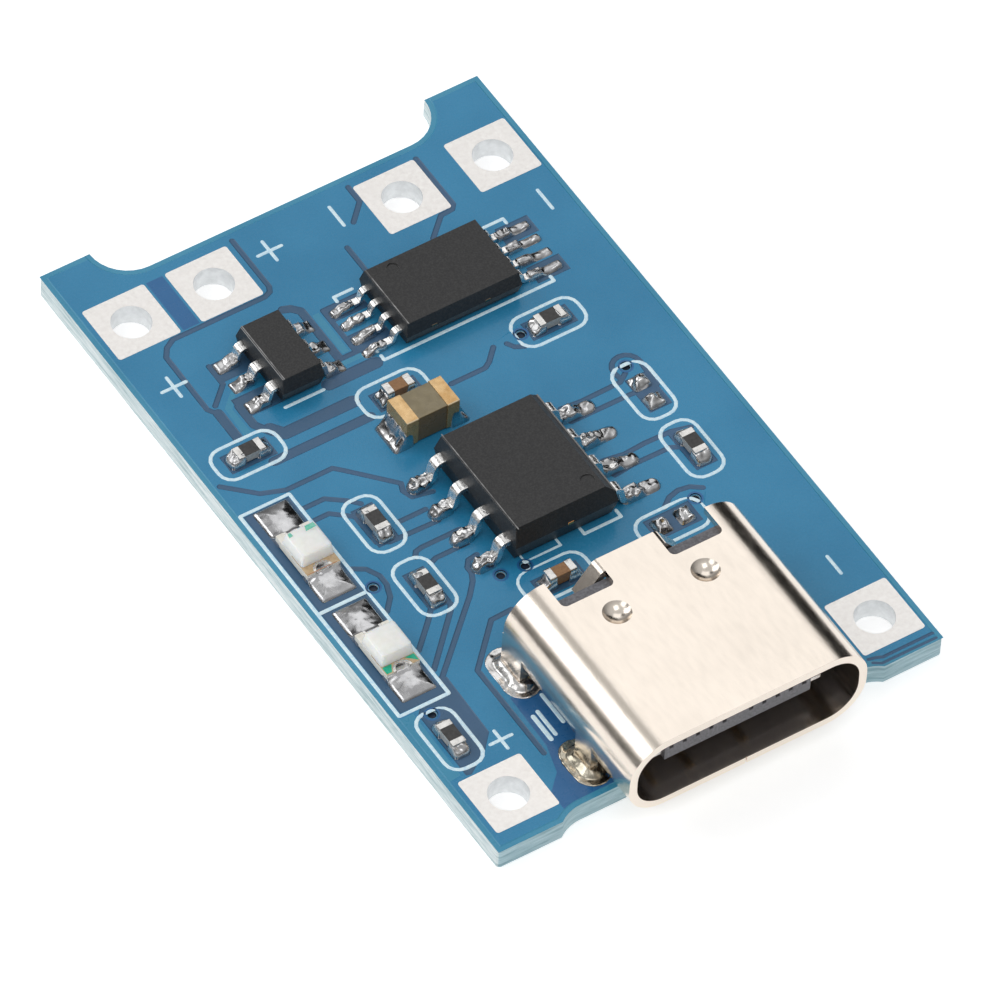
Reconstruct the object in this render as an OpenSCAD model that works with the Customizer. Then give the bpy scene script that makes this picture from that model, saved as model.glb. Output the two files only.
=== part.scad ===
// Charger board for one lithium cell, with a USB-C socket, three chips and six wire pads.
// The board lies flat. X runs across it, Y runs from the socket to the cell pads, Z is up.
// The origin is under the middle of the whole module, on the plane it rests on.

/* [Board] */
// Thickness of the board
board_t = 0.8; // [0.6:0.1:1.6]
// Rounding of the outer corners
corner_r = 0.15; // [0.05:0.05:0.4]
// Radius that the router left in the notch and in the step
router_r = 1.4; // [0.8:0.1:1.6]
// Depth of the notch between the two far ears
notch_d = 1.42; // [1:0.02:1.8]
// Width of the left far ear
left_ear_w = 1.9; // [1.5:0.05:2.4]
// Width of the right far ear
right_ear_w = 2.05; // [1.5:0.05:2.4]
// Depth of the step in the near edge, where the socket hangs over
step_d = 0.3; // [0.1:0.05:0.5]
// Width of the near edge left of the step
left_toe_w = 2.4; // [2:0.1:3]
// Width of the near edge right of the step
right_toe_w = 2.25; // [2:0.05:3]
// Diameter of the small plated vias
via_d = 0.3; // [0.2:0.05:0.4]

/* [Wire pads] */
// Side of each square wire pad
pad_w = 2.35; // [2:0.05:2.5]
// Bore for the wire
hole_d = 1.36; // [1:0.02:1.6]
// Thickness of the tinned copper of a pad
pad_t = 0.07; // [0.04:0.01:0.12]
// Height of a pad's face above the board
pad_proud = 0.03; // [0.01:0.01:0.04]
// Thickness of the plating inside a bore
plating_t = 0.05; // [0.02:0.01:0.1]
// Rounding of a pad's corners
pad_corner_r = 0.1; // [0.05:0.05:0.3]
// Board left beside the left pads
left_pad_edge = 0.365; // [0.2:0.005:0.6]
// Board left beside the right pads
right_pad_edge = 0.245; // [0.2:0.005:0.6]
// Board left between the input pads and the step in the near edge
near_pad_edge = 0.345; // [0.2:0.005:0.6]
// Board left between the far pads and the notch
far_pad_edge = 0.555; // [0.3:0.005:0.9]
// Gap between the socket's lands and the plus pad of the input
in_plus_gap = 0.925; // [0.5:0.005:1.5]
// Gap between the socket's lands and the minus pad of the input
in_minus_gap = 0.605; // [0.4:0.005:1.5]
// Gap between the plus pads of the output and the cell
plus_pads_gap = 0.79; // [0.4:0.01:1.2]
// Gap between the minus pads of the output and the cell
minus_pads_gap = 1.15; // [0.4:0.01:1.2]

/* [Layout] */
// Gap from the tails of the socket's contacts to C3
c3_gap = 0.85; // [0.5:0.05:1.5]
// Gap from C3 to the charger chip
charger_gap = 0.935; // [0.6:0.005:1.5]
// Gap from the charger chip to C1
c1_gap = 0.985; // [0.5:0.005:1.5]
// Gap from C1 to C2
c2_gap = 0.63; // [0.3:0.01:1.2]
// Gap from C2 to the switch chip
switch_gap = 1.17; // [0.8:0.01:1.6]
// Gap from the switch chip to the far pads
far_pads_gap = 1.405; // [0.9:0.005:2]
// Gap between the lands of the protection chip and those of the switch chip
guard_gap = 0.77; // [0.4:0.01:1]
// Gap from R1 and R2 to the charger chip's left lands
left_column_gap = 1.385; // [0.9:0.005:1.7]
// Gap from the charger chip's right lands to R3
right_column_gap = 1.475; // [0.9:0.005:2]
// Gap from the plus pad of the input to R8
r8_gap = 0.805; // [0.4:0.005:1.2]
// Gap from R8 to the second LED
led_2_gap = 1.27; // [0.8:0.01:1.6]
// Gap between the lands of the two LEDs
led_1_gap = 0.47; // [0.3:0.01:0.8]
// Distance from the left edge to the middle of the LEDs
led_inset = 1.27; // [1.1:0.01:1.5]
// Distance from the left edge to the middle of R8
r8_inset = 1.13; // [1:0.01:1.5]
// Distance from the left edge to the middle of R5
r5_inset = 1.83; // [1.5:0.01:2.2]
// How far R5 lies behind C2
r5_behind = 0.27; // [0:0.01:0.4]
// How far R1 lies behind the middle of the charger chip
r1_behind = 1.27; // [1:0.01:1.6]
// How far R2 lies before the middle of the charger chip
r2_before = 1.78; // [1.4:0.01:2]
// How far R3 lies before the middle of the charger chip
r3_before = 1.26; // [1:0.01:1.6]
// How far the unfitted site beside the charger chip lies behind its middle
site_behind = 1.44; // [1.2:0.01:1.8]
// Place of the charger chip across the board, from the board's middle
charger_x = 0.24; // [-0.5:0.01:0.8]
// Place of the switch chip across the board
switch_x = 2.37; // [1.8:0.01:2.8]
// Place of C1 across the board
c1_x = -1.1; // [-2:0.01:1]
// Place of C2 across the board
c2_x = -1.11; // [-2:0.01:1]
// Place of C3 across the board
c3_x = -0.79; // [-1.2:0.01:1]
// Place of R6 across the board
r6_x = 4.71; // [3:0.01:6]
// Place of the unfitted site behind the socket
site_x = 3.62; // [3:0.01:5]

/* [USB socket] */
// Width of the shell
usb_w = 8.94; // [8.7:0.02:9.2]
// Height of the shell
usb_h = 3.16; // [3:0.02:3.4]
// Length of the shell from mouth to rear
usb_l = 7.3; // [7.1:0.1:8]
// How far the mouth stands out past the board's near edge
usb_overhang = 1; // [0.8:0.1:1.4]
// Sheet thickness of the shell
shell_t = 0.3; // [0.25:0.01:0.35]
// Height of the flat part of the shell's sides, between its round corners
side_flat = 0.36; // [0.2:0.02:0.6]
// Depth of the two notches in the top of the shell's rear edge
rear_notch_d = 1.15; // [1:0.05:1.3]
// Width of each rear notch
rear_notch_w = 1.95; // [1.6:0.05:2.1]
// Width of the flap between the rear notches
flap_w = 2.15; // [1.9:0.05:2.4]
// Slope of the flap's bent side wings
wing_slope = 52; // [40:1:65]
// Length of the flap's bent side wings
wing_l = 1.1; // [0.8:0.05:1.2]
// Distance from the rear notches to the dimples
dimple_inset = 1; // [0.8:0.05:1.5]
// Distance between the two pressed dimples
dimple_gap = 3.33; // [3:0.05:3.8]
// Diameter of a dimple at the surface
dimple_d = 0.96; // [0.8:0.02:1.1]
// Depth of a dimple
dimple_depth = 0.22; // [0.15:0.01:0.25]
// Width of the seam where the sheet meets under the shell
seam_w = 0.05; // [0.03:0.01:0.08]
// Distance from the rear edge of the shell to the rear legs
rear_leg_inset = 0.51; // [0.5:0.01:1]
// Distance from the near edge to the front legs
front_leg_y = 1.61; // [1.5:0.01:1.8]
// Width of a front leg
front_leg_w = 0.9; // [0.7:0.05:1.1]
// Width of a rear leg
rear_leg_w = 1.1; // [0.9:0.05:1.2]

/* [USB insulator and contacts] */
// Clearance between the insulator and the shell
insulator_fit = 0.02; // [0.01:0.01:0.05]
// Length of the insulator's base behind the cavity
base_l = 0.75; // [0.65:0.05:0.9]
// Gap from the base to the rear edge of the shell
base_inset = 0.6; // [0.5:0.05:0.8]
// Gap from each side of the tongue to the shell
tongue_gap = 1.02; // [0.85:0.01:1.2]
// Thickness of the tongue
tongue_t = 0.7; // [0.6:0.05:0.8]
// How far the tongue's tip lies behind the mouth
tongue_inset = 0.62; // [0.5:0.02:1]
// Length of the thick root of the tongue
root_l = 1.2; // [1:0.1:1.5]
// Thickness of the root of the tongue
root_t = 1.3; // [1.1:0.05:1.4]
// Thickness of the latch plate inside the tongue
latch_t = 0.15; // [0.1:0.01:0.16]
// How far the latch plate stands out of each side of the tongue
latch_proud = 0.05; // [0.03:0.01:0.1]
// Thickness of a contact
contact_t = 0.12; // [0.08:0.01:0.14]
// Width of a contact on the tongue
contact_w = 0.3; // [0.25:0.01:0.35]
// Width of a contact's tail on the board
tail_w = 0.6; // [0.5:0.05:0.7]
// Length of a tail from the base to its toe
tail_run = 1.15; // [1.05:0.05:1.3]

/* [Charger chip] */
// Width of the charger chip's body
charger_w = 3.9; // [3.7:0.05:4.1]
// Length of the charger chip's body
charger_l = 4.85; // [4.7:0.05:5]
// Height of the charger chip's top above the board
charger_h = 1.6; // [1.4:0.05:1.7]
// Height of the charger chip's parting line above the board
charger_part_z = 0.85; // [0.8:0.01:0.9]
// Span of the charger chip's leads from toe to toe
charger_span = 6; // [5.8:0.05:6.2]
// Width of a lead of the charger chip
charger_lead_w = 0.42; // [0.35:0.01:0.5]
// Thickness of a lead of the charger chip
charger_lead_t = 0.22; // [0.18:0.01:0.25]
// Pitch of the charger chip's leads
charger_pitch = 1.27; // [1.2:0.01:1.3]

/* [Protection chip] */
// Width of the protection chip's body
guard_w = 1.6; // [1.5:0.05:1.7]
// Length of the protection chip's body
guard_l = 2.9; // [2.8:0.05:3]
// Height of the protection chip's top above the board
guard_h = 1.15; // [1:0.05:1.3]
// Height of the protection chip's parting line above the board
guard_part_z = 0.6; // [0.55:0.01:0.65]
// Span of the protection chip's leads from toe to toe
guard_span = 2.8; // [2.7:0.05:2.9]
// Width of a lead of the protection chip
guard_lead_w = 0.4; // [0.35:0.01:0.45]
// Thickness of a lead of the protection chip
guard_lead_t = 0.15; // [0.12:0.01:0.18]
// Pitch of the protection chip's leads
guard_pitch = 0.95; // [0.9:0.01:1]

/* [Switch chip] */
// Width of the switch chip's body
switch_w = 4.4; // [4.3:0.05:4.5]
// Length of the switch chip's body
switch_l = 2.9; // [2.8:0.05:3.1]
// Height of the switch chip's top above the board
switch_h = 1.05; // [0.95:0.05:1.2]
// Height of the switch chip's parting line above the board
switch_part_z = 0.55; // [0.5:0.01:0.6]
// Span of the switch chip's leads from toe to toe
switch_span = 6.4; // [6.2:0.05:6.6]
// Width of a lead of the switch chip
switch_lead_w = 0.27; // [0.2:0.01:0.3]
// Thickness of a lead of the switch chip
switch_lead_t = 0.15; // [0.12:0.01:0.18]
// Pitch of the switch chip's leads
switch_pitch = 0.65; // [0.62:0.01:0.7]

/* [All chips] */
// Draft of the sides that carry leads, in degrees
side_draft = 8; // [4:1:12]
// Draft of the end faces, in degrees
end_draft = 16; // [8:1:18]
// Gap between the board and a chip's body
standoff = 0.12; // [0.08:0.01:0.2]
// Width of the bevel along the charger chip's right top edge
bevel_w = 0.3; // [0.1:0.02:0.34]
// Radius of a pin mark in a chip's top
pin_mark_r = 0.25; // [0.15:0.01:0.3]
// Depth of a pin mark
pin_mark_d = 0.04; // [0.02:0.01:0.08]
// Slope of the leads between their bends, in degrees
lead_slope = 78; // [65:1:85]
// Width of the tie bar ends in a chip's end faces
tie_bar_w = 0.24; // [0.15:0.01:0.35]
// Thickness of the tie bar ends
tie_bar_t = 0.12; // [0.08:0.01:0.15]

/* [Capacitors] */
// Length of the input capacitor
big_cap_l = 2; // [1.8:0.05:2.1]
// Width of the input capacitor
big_cap_w = 1.2; // [1.1:0.05:1.3]
// Height of the input capacitor
big_cap_h = 1.2; // [1:0.05:1.3]
// Length of an end cap of the input capacitor
big_cap_end = 0.45; // [0.3:0.05:0.55]
// Length of a small capacitor
small_cap_l = 1; // [0.95:0.01:1.05]
// Width and height of a small capacitor
small_cap_w = 0.5; // [0.45:0.01:0.55]
// Length of an end cap of a small capacitor
small_cap_end = 0.24; // [0.15:0.01:0.3]

/* [Resistors] */
// Length of a resistor
res_l = 1; // [0.95:0.01:1.05]
// Width of a resistor
res_w = 0.5; // [0.45:0.01:0.55]
// Height of a resistor
res_h = 0.36; // [0.3:0.01:0.4]
// Length of an end of a resistor
res_end = 0.23; // [0.15:0.01:0.3]
// Thickness of the metal ends of resistors, capacitors and LEDs
end_t = 0.03; // [0.02:0.01:0.04]

/* [LEDs] */
// Length of an LED
led_l = 1.9; // [1.8:0.05:2.1]
// Width of an LED
led_w = 1.25; // [1.15:0.05:1.3]
// Thickness of an LED's base
led_base_h = 0.3; // [0.25:0.01:0.4]
// Length of an LED's lens
lens_l = 1.25; // [1.2:0.05:1.5]
// Height of an LED's lens above its base
lens_h = 0.48; // [0.35:0.01:0.6]
// Draft of an LED's lens, in degrees
lens_draft = 9; // [2:1:15]
// Length of the metal under each end of an LED
led_end = 0.3; // [0.2:0.02:0.35]
// Width of the metal rim round a recess, on top of an LED's base
led_rim = 0.07; // [0.04:0.01:0.1]
// Radius of the half-round recess in an LED's ends
led_recess_r = 0.28; // [0.2:0.01:0.35]

/* [Solder] */
// Thickness of a soldered land on the board
land_t = 0.05; // [0.03:0.01:0.08]
// Width of the land that shows round a part
land_rim = 0.05; // [0.03:0.01:0.08]
// Height of the solder domes at the socket's legs and at the empty sites
dome_h = 0.2; // [0.1:0.01:0.25]

/* [Hidden] */
$fn = 48;
reach = 2;

// Lands reach past the toes of the leads by different lengths on the two sides
charger_land = [0.2, 0.84];
guard_land = [0.42, 0.4];
switch_land = [0.36, 0.83];
// How far those lands reach under the leads
charger_heel = 0.6;
guard_heel = 0.35;
switch_heel = 0.5;
// Lands past the ends of the other parts, and under them
small_land = 0.25;
big_land = 0.42;
led_near_land = 0.98;
led_far_land = 1.35;
under_land = 0.28;
// Height of the solder on a part's end, as a share of the part's height
wet_share = 0.7;
// Ends of the tie bars along each end face, and the places of the pin marks from the body's corner
charger_tie_bars = [0.15];
switch_tie_bars = [-1.15, 0.9];
tie_bar_l = 0.22;
charger_mark = [0.75, 0.72];
switch_mark = [0.95, 0.5];
small_mark_r = 0.2;
lead_embed = 0.3;
// Sites that carry no part
site_pitch = 0.88;
site_lift = 0.15;
blob_w = 0.5;
blob_l = 0.56;

// Socket
usb_rear = usb_l - usb_overhang;
usb_mid_z = usb_h / 2;
shell_r = (usb_h - side_flat) / 2;
inner_w = usb_w - 2 * shell_t;
inner_h = usb_h - 2 * shell_t;
inner_r = shell_r - shell_t;
base_rear = usb_rear - base_inset;
base_front = base_rear - base_l;
tongue_w = inner_w - 2 * tongue_gap;
tongue_tip = -usb_overhang + tongue_inset;
leg_x = usb_w / 2 - shell_t / 2;
leg_margin = 0.3;
leg_tip = 0.2;
leg_h = 1;
rear_leg_y = usb_rear - rear_leg_inset;
slot_w = 0.85;
slot_margin = 0.65;
leg_land_w = 1.32;
leg_land_margin = 0.5;
rear_corner_w = 1.02;
rear_opening_w = usb_w - 2 * rear_corner_w;
foot_fit = 0.05;
notch_r = 0.2;
wing_fit = 0.05;
// Sheet left where the press has thinned it, as a share
pressed = 0.8;
cut_t = shell_t * 1.5;
dimple_y = usb_rear - rear_notch_d - dimple_inset;
dimple_r = (dimple_d * dimple_d / 4 + dimple_depth * dimple_depth) / (2 * dimple_depth);
tip_step = [0.4, 0.45, 0.06];
tip_notch = [0.14, 0.3, 0.2];
tip_pitch = 0.5;
latch_tip = tongue_tip + 0.12;
latch_recess_y = 2;
latch_recess_r = 0.5;
// One row per contact: place on the tongue and place of its tail, as shares of the tongue's width,
// and side of the tongue
contact_rows = [[-0.42, -0.437, -1], [-0.2, -0.241, -1], [-0.12, -0.08, 1],
                [0.12, 0.08, -1], [0.2, 0.241, 1], [0.42, 0.437, 1]];
contacts = [for (row = contact_rows) [row[0] * tongue_w, row[1] * tongue_w, row[2]]];
contact_start = 0.55;
contact_end = 0.3;
bridge_l = 0.2;
tail_slope = 86;
tail_shoulder = 0.1;
tail_land = 0.3;
tail_heel = 0.55;

// Board: its width holds the socket between the input pads, and its length holds the row of parts
usb_lands_w = usb_w - shell_t + leg_land_w;
left_side = left_pad_edge + pad_w + in_plus_gap;
right_side = right_pad_edge + pad_w + in_minus_gap;
board_w = usb_lands_w + left_side + right_side;
usb_x = (left_side - right_side) / 2;
res_side = (res_w + land_rim) / 2;
res_reach = res_l / 2 + small_land;

// Where each part stands, from the board's middle and its near edge
tails_y = base_rear + tail_run + tail_land;
c3_at = [c3_x, tails_y + c3_gap + small_cap_w / 2];
charger_at = [charger_x, c3_at[1] + small_cap_w / 2 + charger_gap + charger_l / 2];
c1_at = [c1_x, charger_at[1] + charger_l / 2 + c1_gap + big_cap_w / 2];
c2_at = [c2_x, c1_at[1] + big_cap_w / 2 + c2_gap + small_cap_w / 2];
switch_at = [switch_x, c2_at[1] + small_cap_w / 2 + switch_gap + switch_l / 2];
switch_left = switch_x - switch_span / 2 - switch_land[0];
guard_at = [switch_left - guard_gap - guard_land[1] - guard_span / 2, switch_at[1]];
far_pad_y = switch_at[1] + switch_l / 2 + far_pads_gap + pad_w / 2;
board_l = far_pad_y + pad_w / 2 + far_pad_edge + notch_d;
near_y = -(board_l - usb_overhang) / 2;
near_pad_y = step_d + near_pad_edge + pad_w / 2;
left_pad_x = -board_w / 2 + left_pad_edge + pad_w / 2;
right_pad_x = board_w / 2 - right_pad_edge - pad_w / 2;
cell_plus_x = left_pad_x + pad_w + plus_pads_gap;
cell_minus_x = right_pad_x - pad_w - minus_pads_gap;
left_column_x = charger_x - charger_span / 2 - charger_land[0] - left_column_gap - res_side;
right_column_x = charger_x + charger_span / 2 + charger_land[1] + right_column_gap + res_side;
r1_at = [left_column_x, charger_at[1] + r1_behind];
r2_at = [left_column_x, charger_at[1] - r2_before];
r3_at = [right_column_x, charger_at[1] - r3_before];
r5_at = [-board_w / 2 + r5_inset, c2_at[1] + r5_behind];
r6_at = [r6_x, c2_at[1]];
r8_at = [-board_w / 2 + r8_inset, near_pad_y + pad_w / 2 + r8_gap + res_reach];
led_x = -board_w / 2 + led_inset;
led_2_at = [led_x, r8_at[1] + res_reach + led_2_gap + led_near_land + led_l / 2];
led_1_at = [led_x, led_2_at[1] + led_l / 2 + led_far_land + led_1_gap + led_near_land + led_l / 2];
charger_site = [right_column_x, charger_at[1] + site_behind, 90];
socket_site = [site_x, c3_at[1] + site_lift, 0];

// Small plated vias, each beside a part
vias = [[charger_site[0], charger_site[1] + 1.24], [site_x + 1.13, socket_site[1] + 0.41],
        [led_x + 1.08, led_1_at[1] - 2.2], [r8_at[0] + 0.05, r8_at[1] + 1.17],
        [c3_x - 1.51, c3_at[1] + 1.1], [c3_x - 0.63, c3_at[1] + 1.03], [r6_x - 1.06, r6_at[1] + 0.05]];

// Places, where z is zero on the board's top face
module on_board(at, turn = 0) translate([at[0], near_y + at[1], board_t]) rotate(turn) children();
module at_usb() on_board([usb_x, 0]) children();

// Outlines
module rounded_outline(w, l, r) {
    square([w - 2 * r, l], center = true);
    square([w, l - 2 * r], center = true);
    for (sx = [-1, 1], sy = [-1, 1]) translate([sx * (w / 2 - r), sy * (l / 2 - r)]) circle(r);
}
module slot_outline(w, l) {
    square([w, l - w], center = true);
    for (s = [-1, 1]) translate([0, s * (l - w) / 2]) circle(w / 2);
}
function arc_points(c, r, a0, a1, n = 6) =
    [for (i = [0:n]) let (a = a0 + (a1 - a0) * i / n) c + r * [cos(a), sin(a)]];

// A box from its low corner to its high corner
module span_box(low, high) translate(low) cube(high - low);

// A profile drawn in X and Z, pulled along Y about its middle
module along_y(l) translate([0, l / 2, 0]) rotate([90, 0, 0]) linear_extrude(l) children();

// Board
module routed_cut(x0, x1, d) {
    inset = d < router_r ? sqrt(2 * router_r * d - d * d) : router_r;
    for (x = [x0 + inset, x1 - inset]) translate([x, d - router_r]) circle(router_r);
    translate([x0 + inset, d - 2 * router_r]) square([x1 - x0 - 2 * inset, 2 * router_r]);
    translate([x0, -2 * router_r]) square([x1 - x0, router_r + d]);
}
module board_outline() difference() {
    translate([0, board_l / 2]) rounded_outline(board_w, board_l, corner_r);
    routed_cut(-board_w / 2 + left_toe_w, board_w / 2 - right_toe_w, step_d);
    translate([0, board_l]) mirror([0, 1])
        routed_cut(-board_w / 2 + left_ear_w, board_w / 2 - right_ear_w, notch_d);
}
module printed_board() color([0.17, 0.42, 0.62]) difference() {
    on_board([0, 0]) translate([0, 0, -board_t]) linear_extrude(board_t) board_outline();
    for (at = [[left_pad_x, near_pad_y], [right_pad_x, near_pad_y], [left_pad_x, far_pad_y],
               [right_pad_x, far_pad_y], [cell_plus_x, far_pad_y], [cell_minus_x, far_pad_y]])
        on_board(at) pad_blank();
    each_leg() joint_blank($leg_w);
    for (at = vias) on_board(at) translate([0, 0, -board_t - reach])
        cylinder(d = via_d, h = board_t + 2 * reach);
}

// Wire pads, each a plated barrel with a square face above and below
module pad_blank() {
    translate([0, 0, pad_proud - pad_t]) linear_extrude(pad_t) rounded_outline(pad_w, pad_w, pad_corner_r);
    translate([0, 0, -board_t]) {
        linear_extrude(pad_t) rounded_outline(pad_w, pad_w, pad_corner_r);
        cylinder(d = hole_d + 2 * plating_t, h = board_t);
    }
}
module wire_pad(at) color([0.9, 0.86, 0.82]) on_board(at) difference() {
    pad_blank();
    translate([0, 0, -board_t - reach]) cylinder(d = hole_d, h = board_t + 2 * reach);
}

// Socket shell, one folded and pressed sheet
module usb_bar(w, h, r, y0, y1)
    translate([0, y1, usb_mid_z]) rotate([90, 0, 0]) linear_extrude(y1 - y0) rounded_outline(w, h, r);
module each_leg() at_usb() for (side = [-1, 1]) {
    translate([side * leg_x, front_leg_y, 0]) { $leg_w = front_leg_w; children(); }
    translate([side * leg_x, rear_leg_y, 0]) { $leg_w = rear_leg_w; children(); }
}
module leg_blade(w) rotate([90, 0, 90]) translate([0, 0, -shell_t / 2]) linear_extrude(shell_t)
    polygon([[-w / 2, usb_mid_z], [-w / 2, -board_t + leg_tip], [-w / 2 + leg_tip, -board_t],
             [w / 2 - leg_tip, -board_t], [w / 2, -board_t + leg_tip], [w / 2, usb_mid_z]]);
module leg_window(w) translate([-shell_r, -w / 2 - leg_margin, -reach])
    cube([2 * shell_r, w + 2 * leg_margin, reach + leg_h]);
module rear_notch(side)
    translate([side * (flap_w + rear_notch_w) / 2, usb_rear + reach / 2 - rear_notch_d / 2, usb_mid_z])
        linear_extrude(usb_h) rounded_outline(rear_notch_w, rear_notch_d + reach, notch_r);
module flap_wing() {
    bend_r = shell_t;
    start = [flap_w / 2 - wing_fit, usb_h - bend_r];
    turn = [sin(wing_slope), cos(wing_slope)];
    run = wing_l * [cos(wing_slope), -sin(wing_slope)];
    translate([0, usb_rear - (base_inset - wing_fit) / 2, 0]) along_y(base_inset - wing_fit)
        polygon(concat(arc_points(start, bend_r, 90, 90 - wing_slope), [start + bend_r * turn + run],
                       [start + (bend_r - shell_t * pressed) * turn + run, start + [0, bend_r - shell_t]]));
}
module usb_shell() color([0.86, 0.84, 0.8]) difference() {
    union() {
        difference() {
            at_usb() difference() {
                usb_bar(usb_w, usb_h, shell_r, -usb_overhang, usb_rear);
                usb_bar(inner_w, inner_h, inner_r, -usb_overhang - reach, usb_rear + reach);
                for (side = [-1, 1]) rear_notch(side);
                span_box([-rear_opening_w / 2, base_rear - base_l / 2, -reach],
                         [rear_opening_w / 2, usb_rear + reach, cut_t]);
                span_box([-seam_w / 2, -usb_overhang - reach, -reach], [seam_w / 2, usb_rear, cut_t]);
            }
            each_leg() leg_window($leg_w);
        }
        each_leg() leg_blade($leg_w);
        at_usb() {
            for (side = [0, 1]) mirror([side, 0, 0]) flap_wing();
            for (side = [-1, 1]) translate([side * dimple_gap / 2, dimple_y, usb_h]) intersection() {
                translate([0, 0, dimple_r - dimple_depth]) sphere(dimple_r + shell_t * pressed);
                translate([0, 0, -reach - shell_t / 2]) cube(2 * reach, center = true);
            }
        }
    }
    at_usb() for (side = [-1, 1])
        translate([side * dimple_gap / 2, dimple_y, usb_h + dimple_r - dimple_depth]) sphere(dimple_r);
}

// Socket insulator with its tongue, moulded round the latch plate and the contacts
module usb_insulator() color([0.2, 0.2, 0.21]) at_usb() difference() {
    union() {
        usb_bar(inner_w - 2 * insulator_fit, inner_h - 2 * insulator_fit, inner_r - insulator_fit,
                base_front, base_rear);
        span_box([-rear_opening_w / 2 + foot_fit, base_rear - base_l / 2 + foot_fit, 0],
                 [rear_opening_w / 2 - foot_fit, base_rear, usb_mid_z]);
        span_box([-tongue_w / 2, tongue_tip + tip_step[1], usb_mid_z - tongue_t / 2],
                 [tongue_w / 2, base_rear, usb_mid_z + tongue_t / 2]);
        span_box([-tongue_w / 2 + tip_step[0], tongue_tip, usb_mid_z - tongue_t / 2 + tip_step[2]],
                 [tongue_w / 2 - tip_step[0], base_rear, usb_mid_z + tongue_t / 2 - tip_step[2]]);
        span_box([-tongue_w / 2, base_front - root_l, usb_mid_z - root_t / 2],
                 [tongue_w / 2, base_rear, usb_mid_z + root_t / 2]);
    }
    for (i = [-5:5]) if (i != 0)
        translate([i * tip_pitch, tongue_tip, usb_mid_z + tongue_t / 2])
            span_box([-tip_notch[0] / 2, -reach, -tip_notch[2]], [tip_notch[0] / 2, tip_notch[1], reach]);
    latch_blank();
    for (c = contacts) contact_blank(c);
}
module latch_blank() difference() {
    span_box([-tongue_w / 2 - latch_proud, latch_tip, usb_mid_z - latch_t / 2],
             [tongue_w / 2 + latch_proud, base_front - foot_fit, usb_mid_z + latch_t / 2]);
    for (side = [-1, 1])
        translate([side * (tongue_w / 2 + latch_proud), latch_tip + latch_recess_y, usb_mid_z - latch_t])
            cylinder(r = latch_recess_r, h = 2 * latch_t);
}
module usb_latch_plate() color([0.75, 0.73, 0.7]) at_usb() latch_blank();
module contact_blank(c) {
    z0 = usb_mid_z + c[2] * (tongue_t - contact_t) / 2;
    bridge_y = base_rear - contact_end;
    span_box([c[0] - contact_w / 2, tongue_tip + contact_start, z0 - contact_t / 2],
             [c[0] + contact_w / 2, bridge_y, z0 + contact_t / 2]);
    span_box([min(c[0] - contact_w / 2, c[1] - tail_w / 2), bridge_y - bridge_l / 2, z0 - contact_t / 2],
             [max(c[0] + contact_w / 2, c[1] + tail_w / 2), bridge_y + bridge_l / 2, z0 + contact_t / 2]);
    translate([c[1], base_rear, land_t]) rotate(90) along_y(tail_w)
        polygon(gull_outline(tail_run, z0 - land_t - contact_t / 2, contact_t, tail_shoulder, contact_end,
                             tail_slope));
}
module usb_contacts() color([0.85, 0.7, 0.42]) at_usb() for (c = contacts) contact_blank(c);
module usb_tail_solder() color([0.75, 0.75, 0.76]) at_usb() for (c = contacts)
    translate([c[1], base_rear + tail_run, 0]) rotate(90)
        solder_land(tail_heel, tail_land, tail_w, contact_t);

// Solder joints of the socket's four legs, through slots in the board
module joint_blank(w) {
    translate([0, 0, -board_t]) {
        linear_extrude(board_t) slot_outline(slot_w, w + slot_margin);
        linear_extrude(land_t) slot_outline(leg_land_w, w + slot_margin + leg_land_margin);
    }
}
module usb_leg_solder() color([0.72, 0.72, 0.73]) each_leg() difference() {
    union() {
        joint_blank($leg_w);
        linear_extrude(land_t) slot_outline(leg_land_w, $leg_w + slot_margin + leg_land_margin);
        translate([0, 0, land_t]) dome(slot_w, $leg_w + slot_margin, dome_h);
    }
    leg_blade($leg_w);
}
module dome_profile(w, h) {
    r = (w * w / 4 + h * h) / (2 * h);
    intersection() {
        translate([0, h - r]) circle(r);
        translate([0, -h]) square([w, 2 * h]);
    }
}
module dome(w, l, h) intersection() {
    union() {
        for (s = [-1, 1]) translate([0, s * (l - w) / 2, 0]) rotate_extrude() dome_profile(w, h);
        for (s = [0, 1]) mirror([s, 0, 0]) along_y(l - w) dome_profile(w, h);
    }
    translate([-w, -l, 0]) cube([2 * w, 2 * l, 2 * h]);
}

// Lead profile in X and Z: out of the body at the left, down, and along its land to the toe
function gull_outline(run, rise, t, shoulder, embed, slope) =
    let (r = t, turn = [sin(slope), cos(slope)],
         c1 = [shoulder, t / 2 + rise - r],
         leg = (rise - 2 * r * (1 - cos(slope))) / sin(slope),
         c2 = c1 + 2 * r * turn + leg * [cos(slope), -sin(slope)])
    concat([[-embed, rise + t]], arc_points(c1, r + t / 2, 90, 90 - slope),
           arc_points(c2, r - t / 2, 270 - slope, 270), [[run, t], [run, 0]],
           arc_points(c2, r + t / 2, 270, 270 - slope), arc_points(c1, r - t / 2, 90 - slope, 90),
           [[-embed, rise]]);

// Two rows of bent leads, and the ends of the tie bars that held the chip in its frame
module chip_leads(w, l, part_z, span, lead_w, lead_t, pitch, count, tie_bars) {
    for (side = [0, 1], i = [0:count - 1]) mirror([side, 0, 0])
        translate([w / 2, (i - (count - 1) / 2) * pitch, land_t]) along_y(lead_w)
            polygon(gull_outline((span - w) / 2, part_z - land_t - lead_t / 2, lead_t, lead_t / 2,
                                 lead_embed, lead_slope));
    for (side = [-1, 1], x = tie_bars) translate([x, side * (l - tie_bar_l) / 2, part_z])
        cube([tie_bar_w, tie_bar_l, tie_bar_t], center = true);
}
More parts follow.
